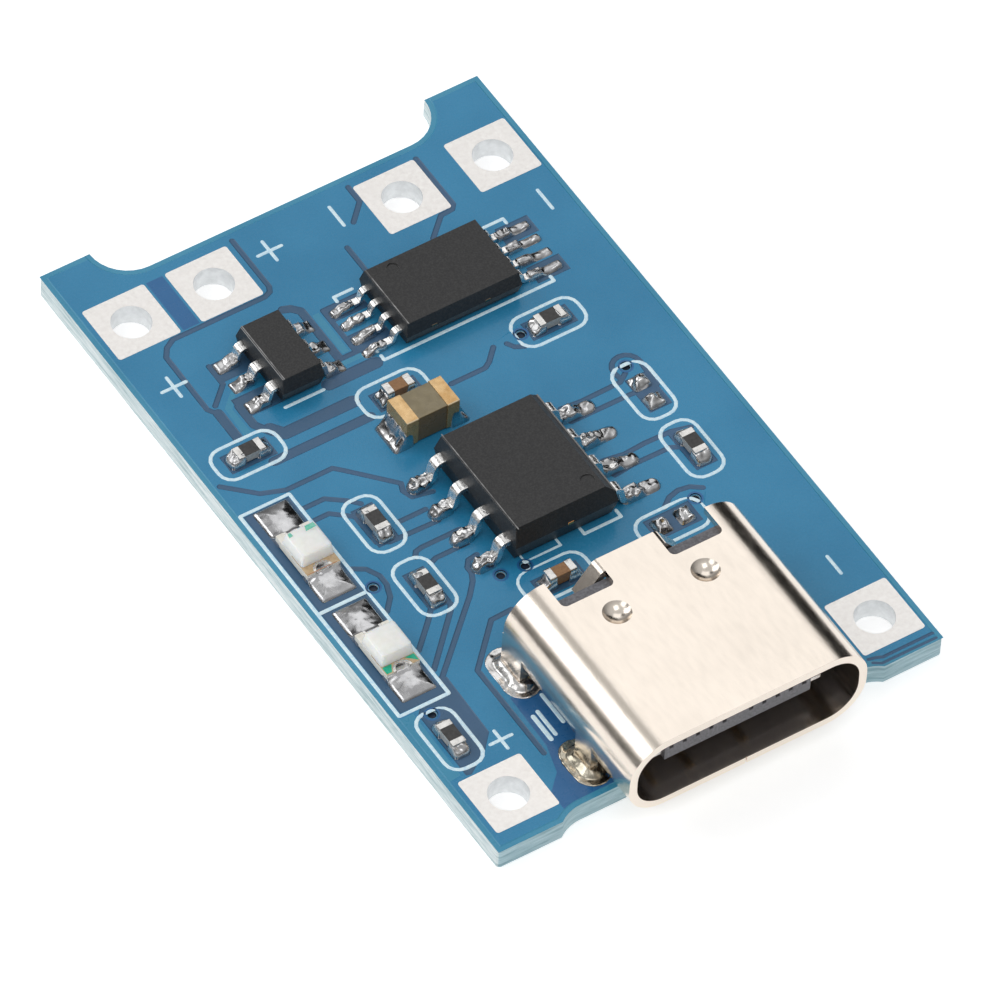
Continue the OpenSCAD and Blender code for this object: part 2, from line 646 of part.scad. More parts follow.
// Moulded body: one drafted profile pulled along Y and one along X, where they meet
module drafted_profile(w, top, part_z, angle) {
    low = (part_z - standoff) * tan(angle);
    high = (top - part_z) * tan(angle);
    polygon([[-w / 2 + low, standoff], [w / 2 - low, standoff], [w / 2, part_z],
             [w / 2 - high, top], [-w / 2 + high, top], [-w / 2, part_z]]);
}
module chip_mould(w, l, top, part_z) intersection() {
    along_y(l) drafted_profile(w, top, part_z, side_draft);
    rotate(90) along_y(w) drafted_profile(l, top, part_z, end_draft);
}
// Solder under and beyond the toe of every lead; each side has its own reach
module chip_solder(span, lead_w, lead_t, pitch, count, lands, inner)
    for (side = [0, 1], i = [0:count - 1]) mirror([1 - side, 0, 0])
        translate([span / 2, (i - (count - 1) / 2) * pitch, 0])
            solder_land(inner, lands[side], lead_w + land_rim, lead_t);

// A tinned land with a hollow fillet up the face at x = 0; inward it runs under the part
module solder_land(inward, outward, w, face_h) {
    translate([-inward, -w / 2, 0]) cube([inward + outward, w, land_t]);
    foot = outward - land_rim;
    translate([0, 0, land_t]) along_y(w - 2 * land_rim)
        polygon(concat([[0, 0]], [for (i = [0:6]) [foot * (1 - sin(15 * i)), face_h * (1 - cos(15 * i))]]));
}

module charger_chip_leads() color([0.8, 0.79, 0.77]) on_board(charger_at)
    chip_leads(charger_w, charger_l, charger_part_z, charger_span, charger_lead_w, charger_lead_t,
               charger_pitch, 4, charger_tie_bars);
module charger_chip_body() color([0.17, 0.17, 0.17]) difference() {
    on_board(charger_at) difference() {
        chip_mould(charger_w, charger_l, charger_h, charger_part_z);
        translate([charger_w / 2 - (charger_h - charger_part_z) * tan(side_draft), 0, charger_h])
            rotate([0, 45, 0]) cube([bevel_w * sqrt(2), 2 * charger_l, bevel_w * sqrt(2)], center = true);
        translate([charger_w / 2 - charger_mark[0], -charger_l / 2 + charger_mark[1], charger_h - pin_mark_d])
            cylinder(r = pin_mark_r, h = reach);
    }
    charger_chip_leads();
}
module charger_chip_solder() color([0.72, 0.72, 0.73]) on_board(charger_at)
    chip_solder(charger_span, charger_lead_w, charger_lead_t, charger_pitch, 4, charger_land, charger_heel);

module guard_chip_leads() color([0.8, 0.79, 0.77]) on_board(guard_at)
    chip_leads(guard_w, guard_l, guard_part_z, guard_span, guard_lead_w, guard_lead_t, guard_pitch, 3, []);
module guard_chip_body() color([0.17, 0.17, 0.17]) difference() {
    on_board(guard_at) chip_mould(guard_w, guard_l, guard_h, guard_part_z);
    guard_chip_leads();
}
module guard_chip_solder() color([0.72, 0.72, 0.73]) on_board(guard_at)
    chip_solder(guard_span, guard_lead_w, guard_lead_t, guard_pitch, 3, guard_land, guard_heel);

module switch_chip_leads() color([0.8, 0.79, 0.77]) on_board(switch_at)
    chip_leads(switch_w, switch_l, switch_part_z, switch_span, switch_lead_w, switch_lead_t,
               switch_pitch, 4, switch_tie_bars);
module switch_chip_body() color([0.17, 0.17, 0.17]) difference() {
    on_board(switch_at) difference() {
        chip_mould(switch_w, switch_l, switch_h, switch_part_z);
        translate([-switch_w / 2 + switch_mark[0], switch_l / 2 - switch_mark[1], switch_h - pin_mark_d])
            cylinder(r = small_mark_r, h = reach);
    }
    switch_chip_leads();
}
module switch_chip_solder() color([0.72, 0.72, 0.73]) on_board(switch_at)
    chip_solder(switch_span, switch_lead_w, switch_lead_t, switch_pitch, 4, switch_land, switch_heel);

// Capacitors: a ceramic block with a metal cap over each end
module cap_body(l, w, h) translate([-l / 2 + end_t, -w / 2 + end_t, land_t + end_t])
    cube([l - 2 * end_t, w - 2 * end_t, h - 2 * end_t]);
module cap_ends(l, w, h, end) difference() {
    for (side = [0, 1]) mirror([side, 0, 0]) translate([l / 2 - end, 0, land_t + h / 2]) rotate([0, 90, 0])
        linear_extrude(end) rounded_outline(h, w, 2 * end_t);
    cap_body(l, w, h);
}
module part_solder(l, w, h, land) for (side = [0, 1]) mirror([side, 0, 0])
    translate([l / 2, 0, 0]) solder_land(under_land, land, w + land_rim, h * wet_share);

module c1_body() color([0.62, 0.55, 0.4]) on_board(c1_at) cap_body(big_cap_l, big_cap_w, big_cap_h);
module c1_ends() color([0.85, 0.7, 0.45]) on_board(c1_at)
    cap_ends(big_cap_l, big_cap_w, big_cap_h, big_cap_end);
module small_cap_body(at) color([0.62, 0.4, 0.22]) on_board(at)
    cap_body(small_cap_l, small_cap_w, small_cap_w);
module small_cap_ends(at) color([0.8, 0.79, 0.77]) on_board(at)
    cap_ends(small_cap_l, small_cap_w, small_cap_w, small_cap_end);
module capacitor_solder() color([0.72, 0.72, 0.73]) {
    on_board(c1_at) part_solder(big_cap_l, big_cap_w, big_cap_h, big_land);
    for (at = [c2_at, c3_at]) on_board(at) part_solder(small_cap_l, small_cap_w, small_cap_w, small_land);
}

// Resistors: a ceramic chip with a dark coat on top and metal ends that fold over
module res_body(at, turn) color([0.13, 0.12, 0.12]) on_board(at, turn) translate([0, 0, land_t]) {
    span_box([-res_l / 2 + end_t, -res_w / 2, end_t], [res_l / 2 - end_t, res_w / 2, res_h - end_t]);
    span_box([-res_l / 2 + res_end, -res_w / 2, res_h - end_t], [res_l / 2 - res_end, res_w / 2, res_h]);
}
module res_ends(at, turn) color([0.8, 0.79, 0.77]) on_board(at, turn) translate([0, 0, land_t]) difference() {
    for (side = [0, 1]) mirror([side, 0, 0])
        span_box([res_l / 2 - res_end, -res_w / 2, 0], [res_l / 2, res_w / 2, res_h]);
    span_box([-res_l / 2 + end_t, -res_w, end_t], [res_l / 2 - end_t, res_w, res_h - end_t]);
}
module resistor_solder() color([0.72, 0.72, 0.73]) {
    for (at = [r1_at, r2_at, r3_at, r8_at]) on_board(at, 90) part_solder(res_l, res_w, res_h, small_land);
    for (at = [r5_at, r6_at]) on_board(at) part_solder(res_l, res_w, res_h, small_land);
}

// LEDs: a base with metal ends in half-round recesses, and a moulded lens on top
module led_end_blank() intersection() {
    translate([-led_w / 2, 0, 0]) cube([led_w, led_l / 2, led_base_h]);
    difference() {
        union() {
            span_box([-led_w / 2, led_l / 2 - led_end, 0], [led_w / 2, led_l / 2, end_t]);
            translate([0, led_l / 2, led_base_h - end_t]) cylinder(r = led_recess_r + led_rim, h = end_t);
            translate([0, led_l / 2, 0]) cylinder(r = led_recess_r, h = led_base_h);
        }
        translate([0, led_l / 2, -reach]) cylinder(r = led_recess_r - end_t, h = 2 * reach);
    }
}
module led_ends(at) color([0.8, 0.79, 0.77]) on_board(at) translate([0, 0, land_t])
    for (side = [0, 1]) mirror([0, side, 0]) led_end_blank();
module led_base(at) color([0.82, 0.74, 0.55]) on_board(at) translate([0, 0, land_t]) difference() {
    translate([-led_w / 2, -led_l / 2, 0]) cube([led_w, led_l, led_base_h]);
    for (side = [0, 1]) mirror([0, side, 0]) {
        led_end_blank();
        translate([0, led_l / 2, -reach]) cylinder(r = led_recess_r - end_t, h = 2 * reach);
    }
}
module led_lens(at) color([0.9, 0.88, 0.84]) on_board(at) translate([0, 0, land_t + led_base_h]) {
    lean = lens_h * tan(lens_draft);
    intersection() {
        along_y(lens_l) polygon([[-led_w / 2, 0], [led_w / 2, 0], [led_w / 2 - lean, lens_h],
                                 [-led_w / 2 + lean, lens_h]]);
        rotate(90) along_y(led_w) polygon([[-lens_l / 2, 0], [lens_l / 2, 0], [lens_l / 2 - lean, lens_h],
                                           [-lens_l / 2 + lean, lens_h]]);
    }
}
module led_solder() color([0.72, 0.72, 0.73])
    for (at = [led_1_at, led_2_at], side = [[-90, led_near_land], [90, led_far_land]])
        on_board(at, side[0]) translate([led_l / 2, 0, 0])
            solder_land(under_land, side[1], led_w + land_rim, led_base_h * wet_share);

// Tinned lands with a bead of solder where no part is fitted
module empty_site_solder() color([0.72, 0.72, 0.73]) for (site = [charger_site, socket_site], s = [-1, 1])
    on_board(site, site[2]) translate([s * site_pitch / 2, 0, 0]) {
        r = (blob_w * blob_w / 4 + dome_h * dome_h) / (2 * dome_h);
        translate([-blob_w / 2 - land_rim, -blob_l / 2 - land_rim, 0])
            cube([blob_w + 2 * land_rim, blob_l + 2 * land_rim, land_t]);
        intersection() {
            translate([0, 0, land_t + dome_h - r]) sphere(r);
            translate([-blob_w, -blob_w, land_t / 2]) cube([2 * blob_w, 2 * blob_w, 2 * dome_h]);
        }
    }

printed_board();
wire_pad([left_pad_x, near_pad_y]);  // pad_in_plus
wire_pad([right_pad_x, near_pad_y]);  // pad_in_minus
wire_pad([left_pad_x, far_pad_y]);  // pad_out_plus
wire_pad([right_pad_x, far_pad_y]);  // pad_out_minus
wire_pad([cell_plus_x, far_pad_y]);  // pad_cell_plus
wire_pad([cell_minus_x, far_pad_y]);  // pad_cell_minus
usb_shell();
usb_insulator();
usb_latch_plate();
usb_contacts();
usb_leg_solder();
usb_tail_solder();
charger_chip_body();
charger_chip_leads();
charger_chip_solder();
guard_chip_body();
guard_chip_leads();
guard_chip_solder();
switch_chip_body();
switch_chip_leads();
switch_chip_solder();
c1_body();
c1_ends();
small_cap_body(c2_at);  // c2_body
small_cap_ends(c2_at);  // c2_ends
small_cap_body(c3_at);  // c3_body
small_cap_ends(c3_at);  // c3_ends
capacitor_solder();
res_body(r1_at, 90);  // r1_body
res_ends(r1_at, 90);  // r1_ends
res_body(r2_at, 90);  // r2_body
res_ends(r2_at, 90);  // r2_ends
res_body(r3_at, 90);  // r3_body
res_ends(r3_at, 90);  // r3_ends
res_body(r5_at, 0);  // r5_body
res_ends(r5_at, 0);  // r5_ends
res_body(r6_at, 0);  // r6_body
res_ends(r6_at, 0);  // r6_ends
res_body(r8_at, 90);  // r8_body
res_ends(r8_at, 90);  // r8_ends
resistor_solder();
led_base(led_1_at);  // led_1_base
led_lens(led_1_at);  // led_1_lens
led_ends(led_1_at);  // led_1_ends
led_base(led_2_at);  // led_2_base
led_lens(led_2_at);  // led_2_lens
led_ends(led_2_at);  // led_2_ends
led_solder();
empty_site_solder();
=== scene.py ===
import math

import bpy
import numpy as np
from mathutils import Matrix, Vector, noise
from mathutils.geometry import delaunay_2d_cdt


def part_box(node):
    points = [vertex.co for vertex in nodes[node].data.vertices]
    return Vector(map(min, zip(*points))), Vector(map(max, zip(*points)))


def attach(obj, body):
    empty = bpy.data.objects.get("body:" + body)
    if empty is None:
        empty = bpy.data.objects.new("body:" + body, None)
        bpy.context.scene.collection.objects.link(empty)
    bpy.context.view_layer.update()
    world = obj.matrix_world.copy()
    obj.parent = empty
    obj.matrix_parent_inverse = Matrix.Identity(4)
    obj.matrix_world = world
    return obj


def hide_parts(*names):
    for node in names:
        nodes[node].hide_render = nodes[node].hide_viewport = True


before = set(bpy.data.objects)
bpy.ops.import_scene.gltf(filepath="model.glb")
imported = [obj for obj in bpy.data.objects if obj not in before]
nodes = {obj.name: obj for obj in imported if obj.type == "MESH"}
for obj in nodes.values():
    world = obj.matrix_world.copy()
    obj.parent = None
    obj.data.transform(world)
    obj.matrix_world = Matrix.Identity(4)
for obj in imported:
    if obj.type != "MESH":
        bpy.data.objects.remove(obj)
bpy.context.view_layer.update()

# Board coordinates are in millimetres: X from the board's middle, Y from its near edge, Z from its top face
MM = 0.001
board_low, board_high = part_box("printed_board")
BOARD_W = (board_high.x - board_low.x) / MM
BOARD_L = (board_high.y - board_low.y) / MM
BOARD_T = (board_high.z - board_low.z) / MM


def place(x, y, z):
    """A point in board coordinates as metres in the row frame."""
    return (x * MM, board_low.y + y * MM, board_high.z + z * MM)


# Materials


class Finish:
    """A node material with a Principled shader and short calls for what feeds it."""

    def __init__(self, name, color, roughness, metallic=0.0, **sockets):
        self.material = bpy.data.materials.new(name)
        self.material.use_nodes = True
        self.tree = self.material.node_tree
        self.shader = self.tree.nodes["Principled BSDF"]
        self.shader.inputs["Base Color"].default_value = (*color, 1)
        self.shader.inputs["Roughness"].default_value = roughness
        self.shader.inputs["Metallic"].default_value = metallic
        for key, value in sockets.items():
            self.shader.inputs[key.replace("_", " ")].default_value = value
        self.place = self.node("ShaderNodeTexCoord").outputs["Object"]
        self.height = None

    def node(self, kind, **settings):
        made = self.tree.nodes.new(kind)
        for key, value in settings.items():
            setattr(made, key, value)
        return made

    def link(self, output, target):
        self.tree.links.new(output, target)

    def feed(self, output, socket):
        self.link(output, self.shader.inputs[socket])

    def noise(self, per_mm, detail=3.0, roughness=0.55, stretch=(1, 1, 1)):
        """Noise with that many features a millimetre, stretched along the axes."""
        mapping = self.node("ShaderNodeMapping")
        mapping.inputs["Scale"].default_value = stretch
        self.link(self.place, mapping.inputs["Vector"])
        made = self.node("ShaderNodeTexNoise")
        made.inputs["Scale"].default_value = per_mm / MM
        made.inputs["Detail"].default_value = detail
        made.inputs["Roughness"].default_value = roughness
        self.link(mapping.outputs["Vector"], made.inputs["Vector"])
        return made.outputs["Fac"]

    def ramp(self, factor, *stops):
        """A colour ramp; each stop is (position, colour or grey)."""
        made = self.node("ShaderNodeValToRGB")
        elements = made.color_ramp.elements
        for i, (position, value) in enumerate(stops):
            element = elements[i] if i < 2 else elements.new(position)
            element.position = position
            element.color = (value, value, value, 1) if isinstance(value, (int, float)) else (*value, 1)
        self.link(factor, made.inputs["Fac"])
        return made.outputs["Color"]

    def math(self, operation, a, b=0.0):
        made = self.node("ShaderNodeMath", operation=operation)
        for socket, value in zip(made.inputs, (a, b)):
            if isinstance(value, (int, float)):
                socket.default_value = value
            else:
                self.link(value, socket)
        return made.outputs["Value"]

    def mix(self, factor, a, b):
        made = self.node("ShaderNodeMix", data_type="RGBA")
        for socket, value in zip((made.inputs[0], made.inputs[6], made.inputs[7]), (factor, a, b)):
            if isinstance(value, (int, float)):
                socket.default_value = value
            elif isinstance(value, tuple):
                socket.default_value = (*value, 1)
            else:
                self.link(value, socket)
        return made.outputs[2]

    def bump(self, height, depth_mm):
        """Adds a bump of that depth on top of the ones before it."""
        made = self.node("ShaderNodeBump")
        made.inputs["Distance"].default_value = depth_mm * MM
        self.link(height, made.inputs["Height"])
        if self.height:
            self.link(self.height, made.inputs["Normal"])
        self.height = made.outputs["Normal"]
        self.link(self.height, self.shader.inputs["Normal"])

    def vary(self, color, other, per_mm, low=0.35, high=0.65, detail=3.0):
        """Mixes two base colours by noise."""
        self.feed(self.ramp(self.noise(per_mm, detail), (low, color), (high, other)), "Base Color")


def solder_mask(name, color, other, roughness=0.26):
    """Glossy lacquer over copper or fibre, with a faint orange peel and fine dust."""
    made = Finish(name, color, roughness, Coat_Weight=0.15, Coat_Roughness=0.06, Specular_IOR_Level=0.3)
    made.vary(color, other, 0.22, 0.3, 0.7)
    made.bump(made.noise(1.1, 2), 0.004)
    made.feed(made.ramp(made.noise(5, 4), (0.3, roughness - 0.06), (0.75, roughness + 0.08)), "Roughness")
    return made.material


def face_normal(made):
    """Node whose outputs are the surface normal's X, Y and Z."""
    split = made.node("ShaderNodeSeparateXYZ")
    made.link(made.node("ShaderNodeNewGeometry").outputs["Normal"], split.inputs["Vector"])
    return split


def facing(made, low, high, axis="Z"):
    """Factor that goes from 0 to 1 as the normal's share along an axis goes from low to high."""
    normal = face_normal(made)
    return made.ramp(made.math("ABSOLUTE", normal.outputs[axis]), (low, 0.0), (high, 1.0))


def board_stuff():
    """Lacquer above and below; layered fibre and resin on the cut edges, with painted shade on the cut edges
    that face the near and far ends.
    """
    made = Finish("board_core", (0.07, 0.26, 0.42), 0.4, IOR=1.5)
    layers = made.noise(2.2, 5, 0.65, (0.3, 0.3, 4))
    side = made.ramp(layers, (0.3, (0.36, 0.5, 0.53)), (0.48, (0.63, 0.74, 0.76)), (0.66, (0.84, 0.9, 0.91)))
    # Painted shade: darker fibre colours for the cut edges that face the near and far ends
    end = made.ramp(layers, (0.3, (0.22, 0.38, 0.44)), (0.48, (0.38, 0.56, 0.62)), (0.66, (0.52, 0.69, 0.75)))
    fibre = made.mix(facing(made, 0.55, 0.8, "Y"), side, end)
    lacquer = made.ramp(made.noise(0.3, 3), (0.3, (0.025, 0.2, 0.38)), (0.7, (0.035, 0.25, 0.45)))
    flat = facing(made, 0.45, 0.55)
    made.feed(made.mix(flat, fibre, lacquer), "Base Color")
    made.feed(made.mix(flat, (0.8, 0.8, 0.8), (0.3, 0.3, 0.3)), "Roughness")
    made.bump(made.noise(7, 4, 0.65, (0.6, 0.6, 2.5)), 0.03)
    return made.material


def tinned_pad():
    """Levelled tin: off-white and finely grained, with painted shade: a dark line on the rounded rims and a
    greyer wall in the bores.
    """
    made = Finish("tinned_pad", (0.86, 0.83, 0.79), 0.42, 0.85)
    face = made.ramp(made.noise(6, 5), (0.38, (1.0, 0.975, 0.945)), (0.66, (0.94, 0.91, 0.88)))
    # Painted shade: steep faces such as the bore walls are greyer than the top face, and the rounded rims
    # carry a dark line
    shaded_bore_wall = made.ramp(made.noise(3, 3), (0.35, (0.72, 0.74, 0.75)), (0.7, (0.86, 0.88, 0.89)))
    rim = made.mix(facing(made, 0.55, 0.75), shaded_bore_wall, (0.3, 0.31, 0.32))
    made.feed(made.mix(facing(made, 0.9, 0.98), rim, face), "Base Color")
    made.feed(made.ramp(made.noise(11, 4), (0.3, 0.36), (0.75, 0.52)), "Roughness")
    made.bump(made.noise(9, 4), 0.003)
    made.bump(made.noise(1.2, 2), 0.008)
    return made.material


def nickel():
    """Plated sheet of the socket's shell: smooth and warm, with a fine grain."""
    made = Finish("nickel_plate", (0.8, 0.75, 0.68), 0.2, 1.0)
    made.vary((0.85, 0.765, 0.675), (0.8, 0.72, 0.635), 0.3, 0.3, 0.7)
    made.feed(made.ramp(made.noise(5, 5, 0.6, (1, 0.25, 1)), (0.35, 0.17), (0.7, 0.26)), "Roughness")
    made.bump(made.noise(14, 3, 0.6, (1, 0.35, 1)), 0.0017)
    return made.material


def solder(name="solder_joint", color=(0.62, 0.62, 0.62), other=(0.46, 0.46, 0.47)):
    """Solder that has set: mirror bright in places, frosted in others."""
    made = Finish(name, color, 0.16, 1.0)
    made.vary(color, other, 2.4, 0.35, 0.7, 4)
    made.feed(made.ramp(made.noise(3, 3), (0.38, 0.12), (0.7, 0.36)), "Roughness")
    made.bump(made.noise(4, 3, 0.5), 0.012)
    return made


def behind(made, y):
    """Factor that is 1 where a point lies beyond that board Y."""
    split = made.node("ShaderNodeSeparateXYZ")
    made.link(made.place, split.inputs["Vector"])
    return made.math("GREATER_THAN", split.outputs["Y"], board_low.y + y * MM)


def leg_solder():
    """The socket's joints: clean at the rear legs, with amber flux left on the front ones."""
    made = solder("leg_joint")
    bright = made.ramp(made.noise(2.4, 4), (0.35, (0.76, 0.75, 0.74)), (0.7, (0.48, 0.47, 0.46)))
    amber = made.ramp(made.noise(1.8, 4), (0.35, (0.55, 0.51, 0.42)), (0.7, (0.26, 0.23, 0.17)))
    made.feed(made.mix(behind(made, 3.5), amber, bright), "Base Color")
    return made.material


def matt_tin(name="tinned_lead", color=(0.66, 0.65, 0.63)):
    """Plated leads and end caps."""
    made = Finish(name, color, 0.25, 1.0)
    made.feed(made.ramp(made.noise(6, 4), (0.35, 0.14), (0.7, 0.4)), "Roughness")
    made.bump(made.noise(3.5, 3), 0.03)
    return made


def lead_metal(name, y, half, cut_color):
    """Leads of one chip; the cut ends of its tie bars lie further from its middle than half."""
    made = matt_tin(name)
    ends = made.math("ADD", behind(made, y + half), made.math("SUBTRACT", 1.0, behind(made, y - half)))
    made.feed(made.mix(ends, (0.88, 0.87, 0.85), cut_color), "Base Color")
    return made.material


def chip_plastic():
    """Moulding compound: charcoal and finely eroded, with a painted highlight on its bevelled edges that face
    left.
    """
    made = Finish("chip_plastic", (0.03, 0.03, 0.031), 0.55, IOR=1.5)
    face = made.ramp(made.noise(16, 4), (0.4, (0.02, 0.02, 0.021)), (0.75, (0.045, 0.045, 0.045)))
    normal = face_normal(made)
    # Painted highlight: tilted faces that lean to the left get a light grey
    slope = made.math("ABSOLUTE", made.math("SUBTRACT", normal.outputs["Z"], 0.66))
    tilted = made.math("LESS_THAN", slope, 0.3)
    painted_highlight_mask = made.math("MULTIPLY", tilted, made.math("LESS_THAN", normal.outputs["X"], -0.1))
    made.feed(made.mix(painted_highlight_mask, face, (0.3, 0.3, 0.3)), "Base Color")
    made.feed(made.ramp(made.noise(20, 3), (0.3, 0.38), (0.7, 0.55)), "Roughness")
    made.bump(made.noise(22, 3), 0.004)
    return made.material


def moulded(name, color, other, roughness=0.5, grain=12, **sockets):
    """Plain moulded or fired stuff with a fine grain."""
    made = Finish(name, color, roughness, **sockets)
    made.vary(color, other, grain, 0.35, 0.7)
    made.bump(made.noise(grain * 1.5, 3), 0.004)
    return made.material


def two_sided(name, color, other, side):
    """Glazed ceramic with a mottled top face and browner sides."""
    made = Finish(name, color, 0.35)
    top = made.ramp(made.noise(3, 4), (0.35, color), (0.7, other))
    made.feed(made.mix(facing(made, 0.4, 0.8), side, top), "Base Color")
    made.feed(made.ramp(made.noise(4, 3), (0.35, 0.25), (0.7, 0.45)), "Roughness")
    made.bump(made.noise(18, 3), 0.004)
    return made.material


def resistor_coat():
    """Black glaze on the top face, white ceramic on the sides."""
    made = Finish("resistor_coat", (0.02, 0.02, 0.022), 0.3, IOR=1.5)
    glaze = made.ramp(made.noise(9, 3), (0.35, (0.018, 0.017, 0.017)), (0.7, (0.045, 0.043, 0.042)))
    ceramic = made.ramp(made.noise(12, 3), (0.3, (0.38, 0.37, 0.35)), (0.7, (0.55, 0.54, 0.51)))
    made.feed(made.mix(facing(made, 0.55, 0.65), ceramic, glaze), "Base Color")
    made.bump(made.noise(8, 3), 0.006)
    return made.material


def led_laminate(name, y):
    """Base of an LED whose middle is at that board Y: tan on top of its near end, cream elsewhere, and a
    faint painted glow all over.
    """
    made = Finish(name, (0.55, 0.4, 0.22), 0.45)
    tan = made.ramp(made.noise(8, 3), (0.35, (0.5, 0.34, 0.17)), (0.7, (0.62, 0.46, 0.27)))
    side = made.ramp(made.noise(8, 3, 0.5, (1, 1, 3)), (0.35, (0.8, 0.77, 0.68)), (0.7, (0.92, 0.9, 0.84)))
    top = made.mix(behind(made, y), tan, side)
    made.feed(made.mix(facing(made, 0.55, 0.65), side, top), "Base Color")
    # A faint painted glow over the whole base, which lightens its shaded sides
    made.shader.inputs["Emission Color"].default_value = (0.9, 0.88, 0.8, 1)
    made.shader.inputs["Emission Strength"].default_value = 0.05
    made.bump(made.noise(12, 3), 0.004)
    return made.material


def end_glow():
    """Gilt-looking end caps of the input capacitor, with a painted gradient on their sides from dark where
    they stand upright to bright where they tilt upward.
    """
    made = Finish("cap_end_glow", (0.86, 0.63, 0.34), 0.3, 0.45)
    top = made.ramp(made.noise(1.8, 4), (0.35, (0.82, 0.56, 0.28)), (0.7, (0.56, 0.31, 0.1)))
    # Painted shade and reflection: upright side faces dark, faces that tilt upward bright
    side = made.mix(facing(made, 0.25, 0.45), (0.52, 0.35, 0.15), (1.0, 0.82, 0.55))
    made.feed(made.mix(facing(made, 0.85, 0.97), side, top), "Base Color")
    made.feed(made.ramp(made.noise(4, 4), (0.35, 0.18), (0.7, 0.42)), "Roughness")
    made.bump(made.noise(5, 3), 0.012)
    return made.material


def ink():
    """Printed marks: pale blue-white, slightly beaded, with a faint painted glow."""
    # The emission is a faint painted glow
    made = Finish("printed_ink", (0.7, 0.88, 0.97), 0.6,
                  Emission_Color=(0.5, 0.8, 1.0, 1), Emission_Strength=0.08)
    made.vary((0.56, 0.78, 0.94), (0.8, 0.96, 1.0), 9, 0.3, 0.6)
    made.bump(made.noise(10, 3), 0.02)
    return made.material


MASK_COPPER = solder_mask("mask_over_copper", (0.022, 0.22, 0.42), (0.038, 0.27, 0.49))
MASK_GAP = solder_mask("mask_in_gaps", (0.042, 0.114, 0.207), (0.058, 0.135, 0.254), 0.32)
MASK_BARE = solder_mask("mask_over_fibre", (0.035, 0.26, 0.43), (0.07, 0.33, 0.51), 0.3)
MASK_DEEP = solder_mask("mask_over_thin_copper", (0.02, 0.12, 0.31), (0.03, 0.16, 0.38), 0.3)
TIN_PAD = tinned_pad()
NICKEL = nickel()
SOLDER = solder().material
LAND_SOLDER = solder("land_solder", (0.6, 0.6, 0.61), (0.46, 0.46, 0.47)).material
LEG_SOLDER = leg_solder()
LEAD = matt_tin().material
INK = ink()
GOLD = matt_tin("gold_flash", (0.86, 0.62, 0.27)).material
CHIP = chip_plastic()
BOARD = board_stuff()
RESISTOR = resistor_coat()
TAN = two_sided("tan_ceramic", (0.22, 0.18, 0.105), (0.29, 0.24, 0.14), (0.19, 0.13, 0.055))
END_GLOW = end_glow()
BROWN = moulded("brown_ceramic", (0.27, 0.13, 0.05), (0.36, 0.19, 0.08), 0.4)
SOCKET_PLASTIC = moulded("socket_plastic", (0.1, 0.1, 0.112), (0.2, 0.2, 0.22), 0.4)
# The lens resin carries a painted glow that lightens its shaded faces
LED_RESIN = moulded("led_resin", (0.86, 0.85, 0.8), (0.92, 0.91, 0.87), 0.24, 5,
                    Subsurface_Weight=1.0, Subsurface_Radius=(0.001, 0.0008, 0.0006), Subsurface_Scale=0.7,
                    Emission_Color=(1, 0.97, 0.9, 1), Emission_Strength=0.1)
# Near black that stands for the shade deep in the via holes: painted shade
VIA_HOLE_SHADE = moulded("via_bore", (0.006, 0.012, 0.03), (0.012, 0.024, 0.05), 0.5)
GREEN = moulded("green_mark", (0.0, 0.42, 0.24), (0.02, 0.55, 0.36), 0.4)
FAINT_GREEN = moulded("green_through_resin", (0.1, 0.6, 0.42), (0.3, 0.72, 0.58), 0.3)
RED_BROWN = moulded("red_brown_line", (0.45, 0.2, 0.1), (0.55, 0.27, 0.14), 0.4)
# Light grey of the painted highlight strips along the chips' left top edges
HIGHLIGHT_STRIP = moulded("painted_highlight_strip", (0.1, 0.1, 0.1), (0.42, 0.42, 0.42), 0.4, 3)
STEEL = matt_tin("latch_steel", (0.7, 0.68, 0.66)).material


# Finishes and rounded edges on the CAD nodes


def dress(name, material, edge_mm=0.01, segments=2, smooth_angle=35):
    """Gives a CAD node its finish, and a modifier that rounds its sharp edges."""
    node = nodes[name]
    node.data.materials.clear()
    node.data.materials.append(material)
    if "custom_normal" in node.data.attributes:
        node.data.attributes.remove(node.data.attributes["custom_normal"])
    node.data.shade_smooth()
    weld = node.modifiers.new("weld", "WELD")
    weld.merge_threshold = 1e-7
    bevel = node.modifiers.new("rounded_edges", "BEVEL")
    bevel.width = edge_mm * MM
    bevel.segments = segments
    bevel.limit_method = "ANGLE"
    bevel.angle_limit = math.radians(smooth_angle)
    bevel.use_clamp_overlap = True
    bevel.harden_normals = True


def melt(name, material, voxel_mm, swell_mm, lump_mm, lump_size_mm, soften):
    """Gives CAD solder the rounded, lumpy surface of metal that has run and set."""
    node = nodes[name]
    dress(name, material)
    node.modifiers.remove(node.modifiers["rounded_edges"])
    cells = node.modifiers.new("cells", "REMESH")
    cells.mode = "VOXEL"
    cells.voxel_size = voxel_mm * MM
    cells.use_smooth_shade = True
    soft = node.modifiers.new("soften", "SMOOTH")
    soft.factor = 0.5
    soft.iterations = soften
    lumps = bpy.data.textures.new(name + "_lumps", "CLOUDS")
    lumps.noise_scale = lump_size_mm * MM
    lumps.noise_depth = 1
    swell = node.modifiers.new("swell", "DISPLACE")
    swell.texture = lumps
    swell.texture_coords = "LOCAL"
    swell.strength = lump_mm * MM
    swell.mid_level = 0.5 - swell_mm / lump_mm


def node_middle(name):
    """Middle of a node's box in board coordinates, across and along the board."""
    low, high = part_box(name)
    return ((low.x + high.x) / 2 / MM, ((low.y + high.y) / 2 - board_low.y) / MM)


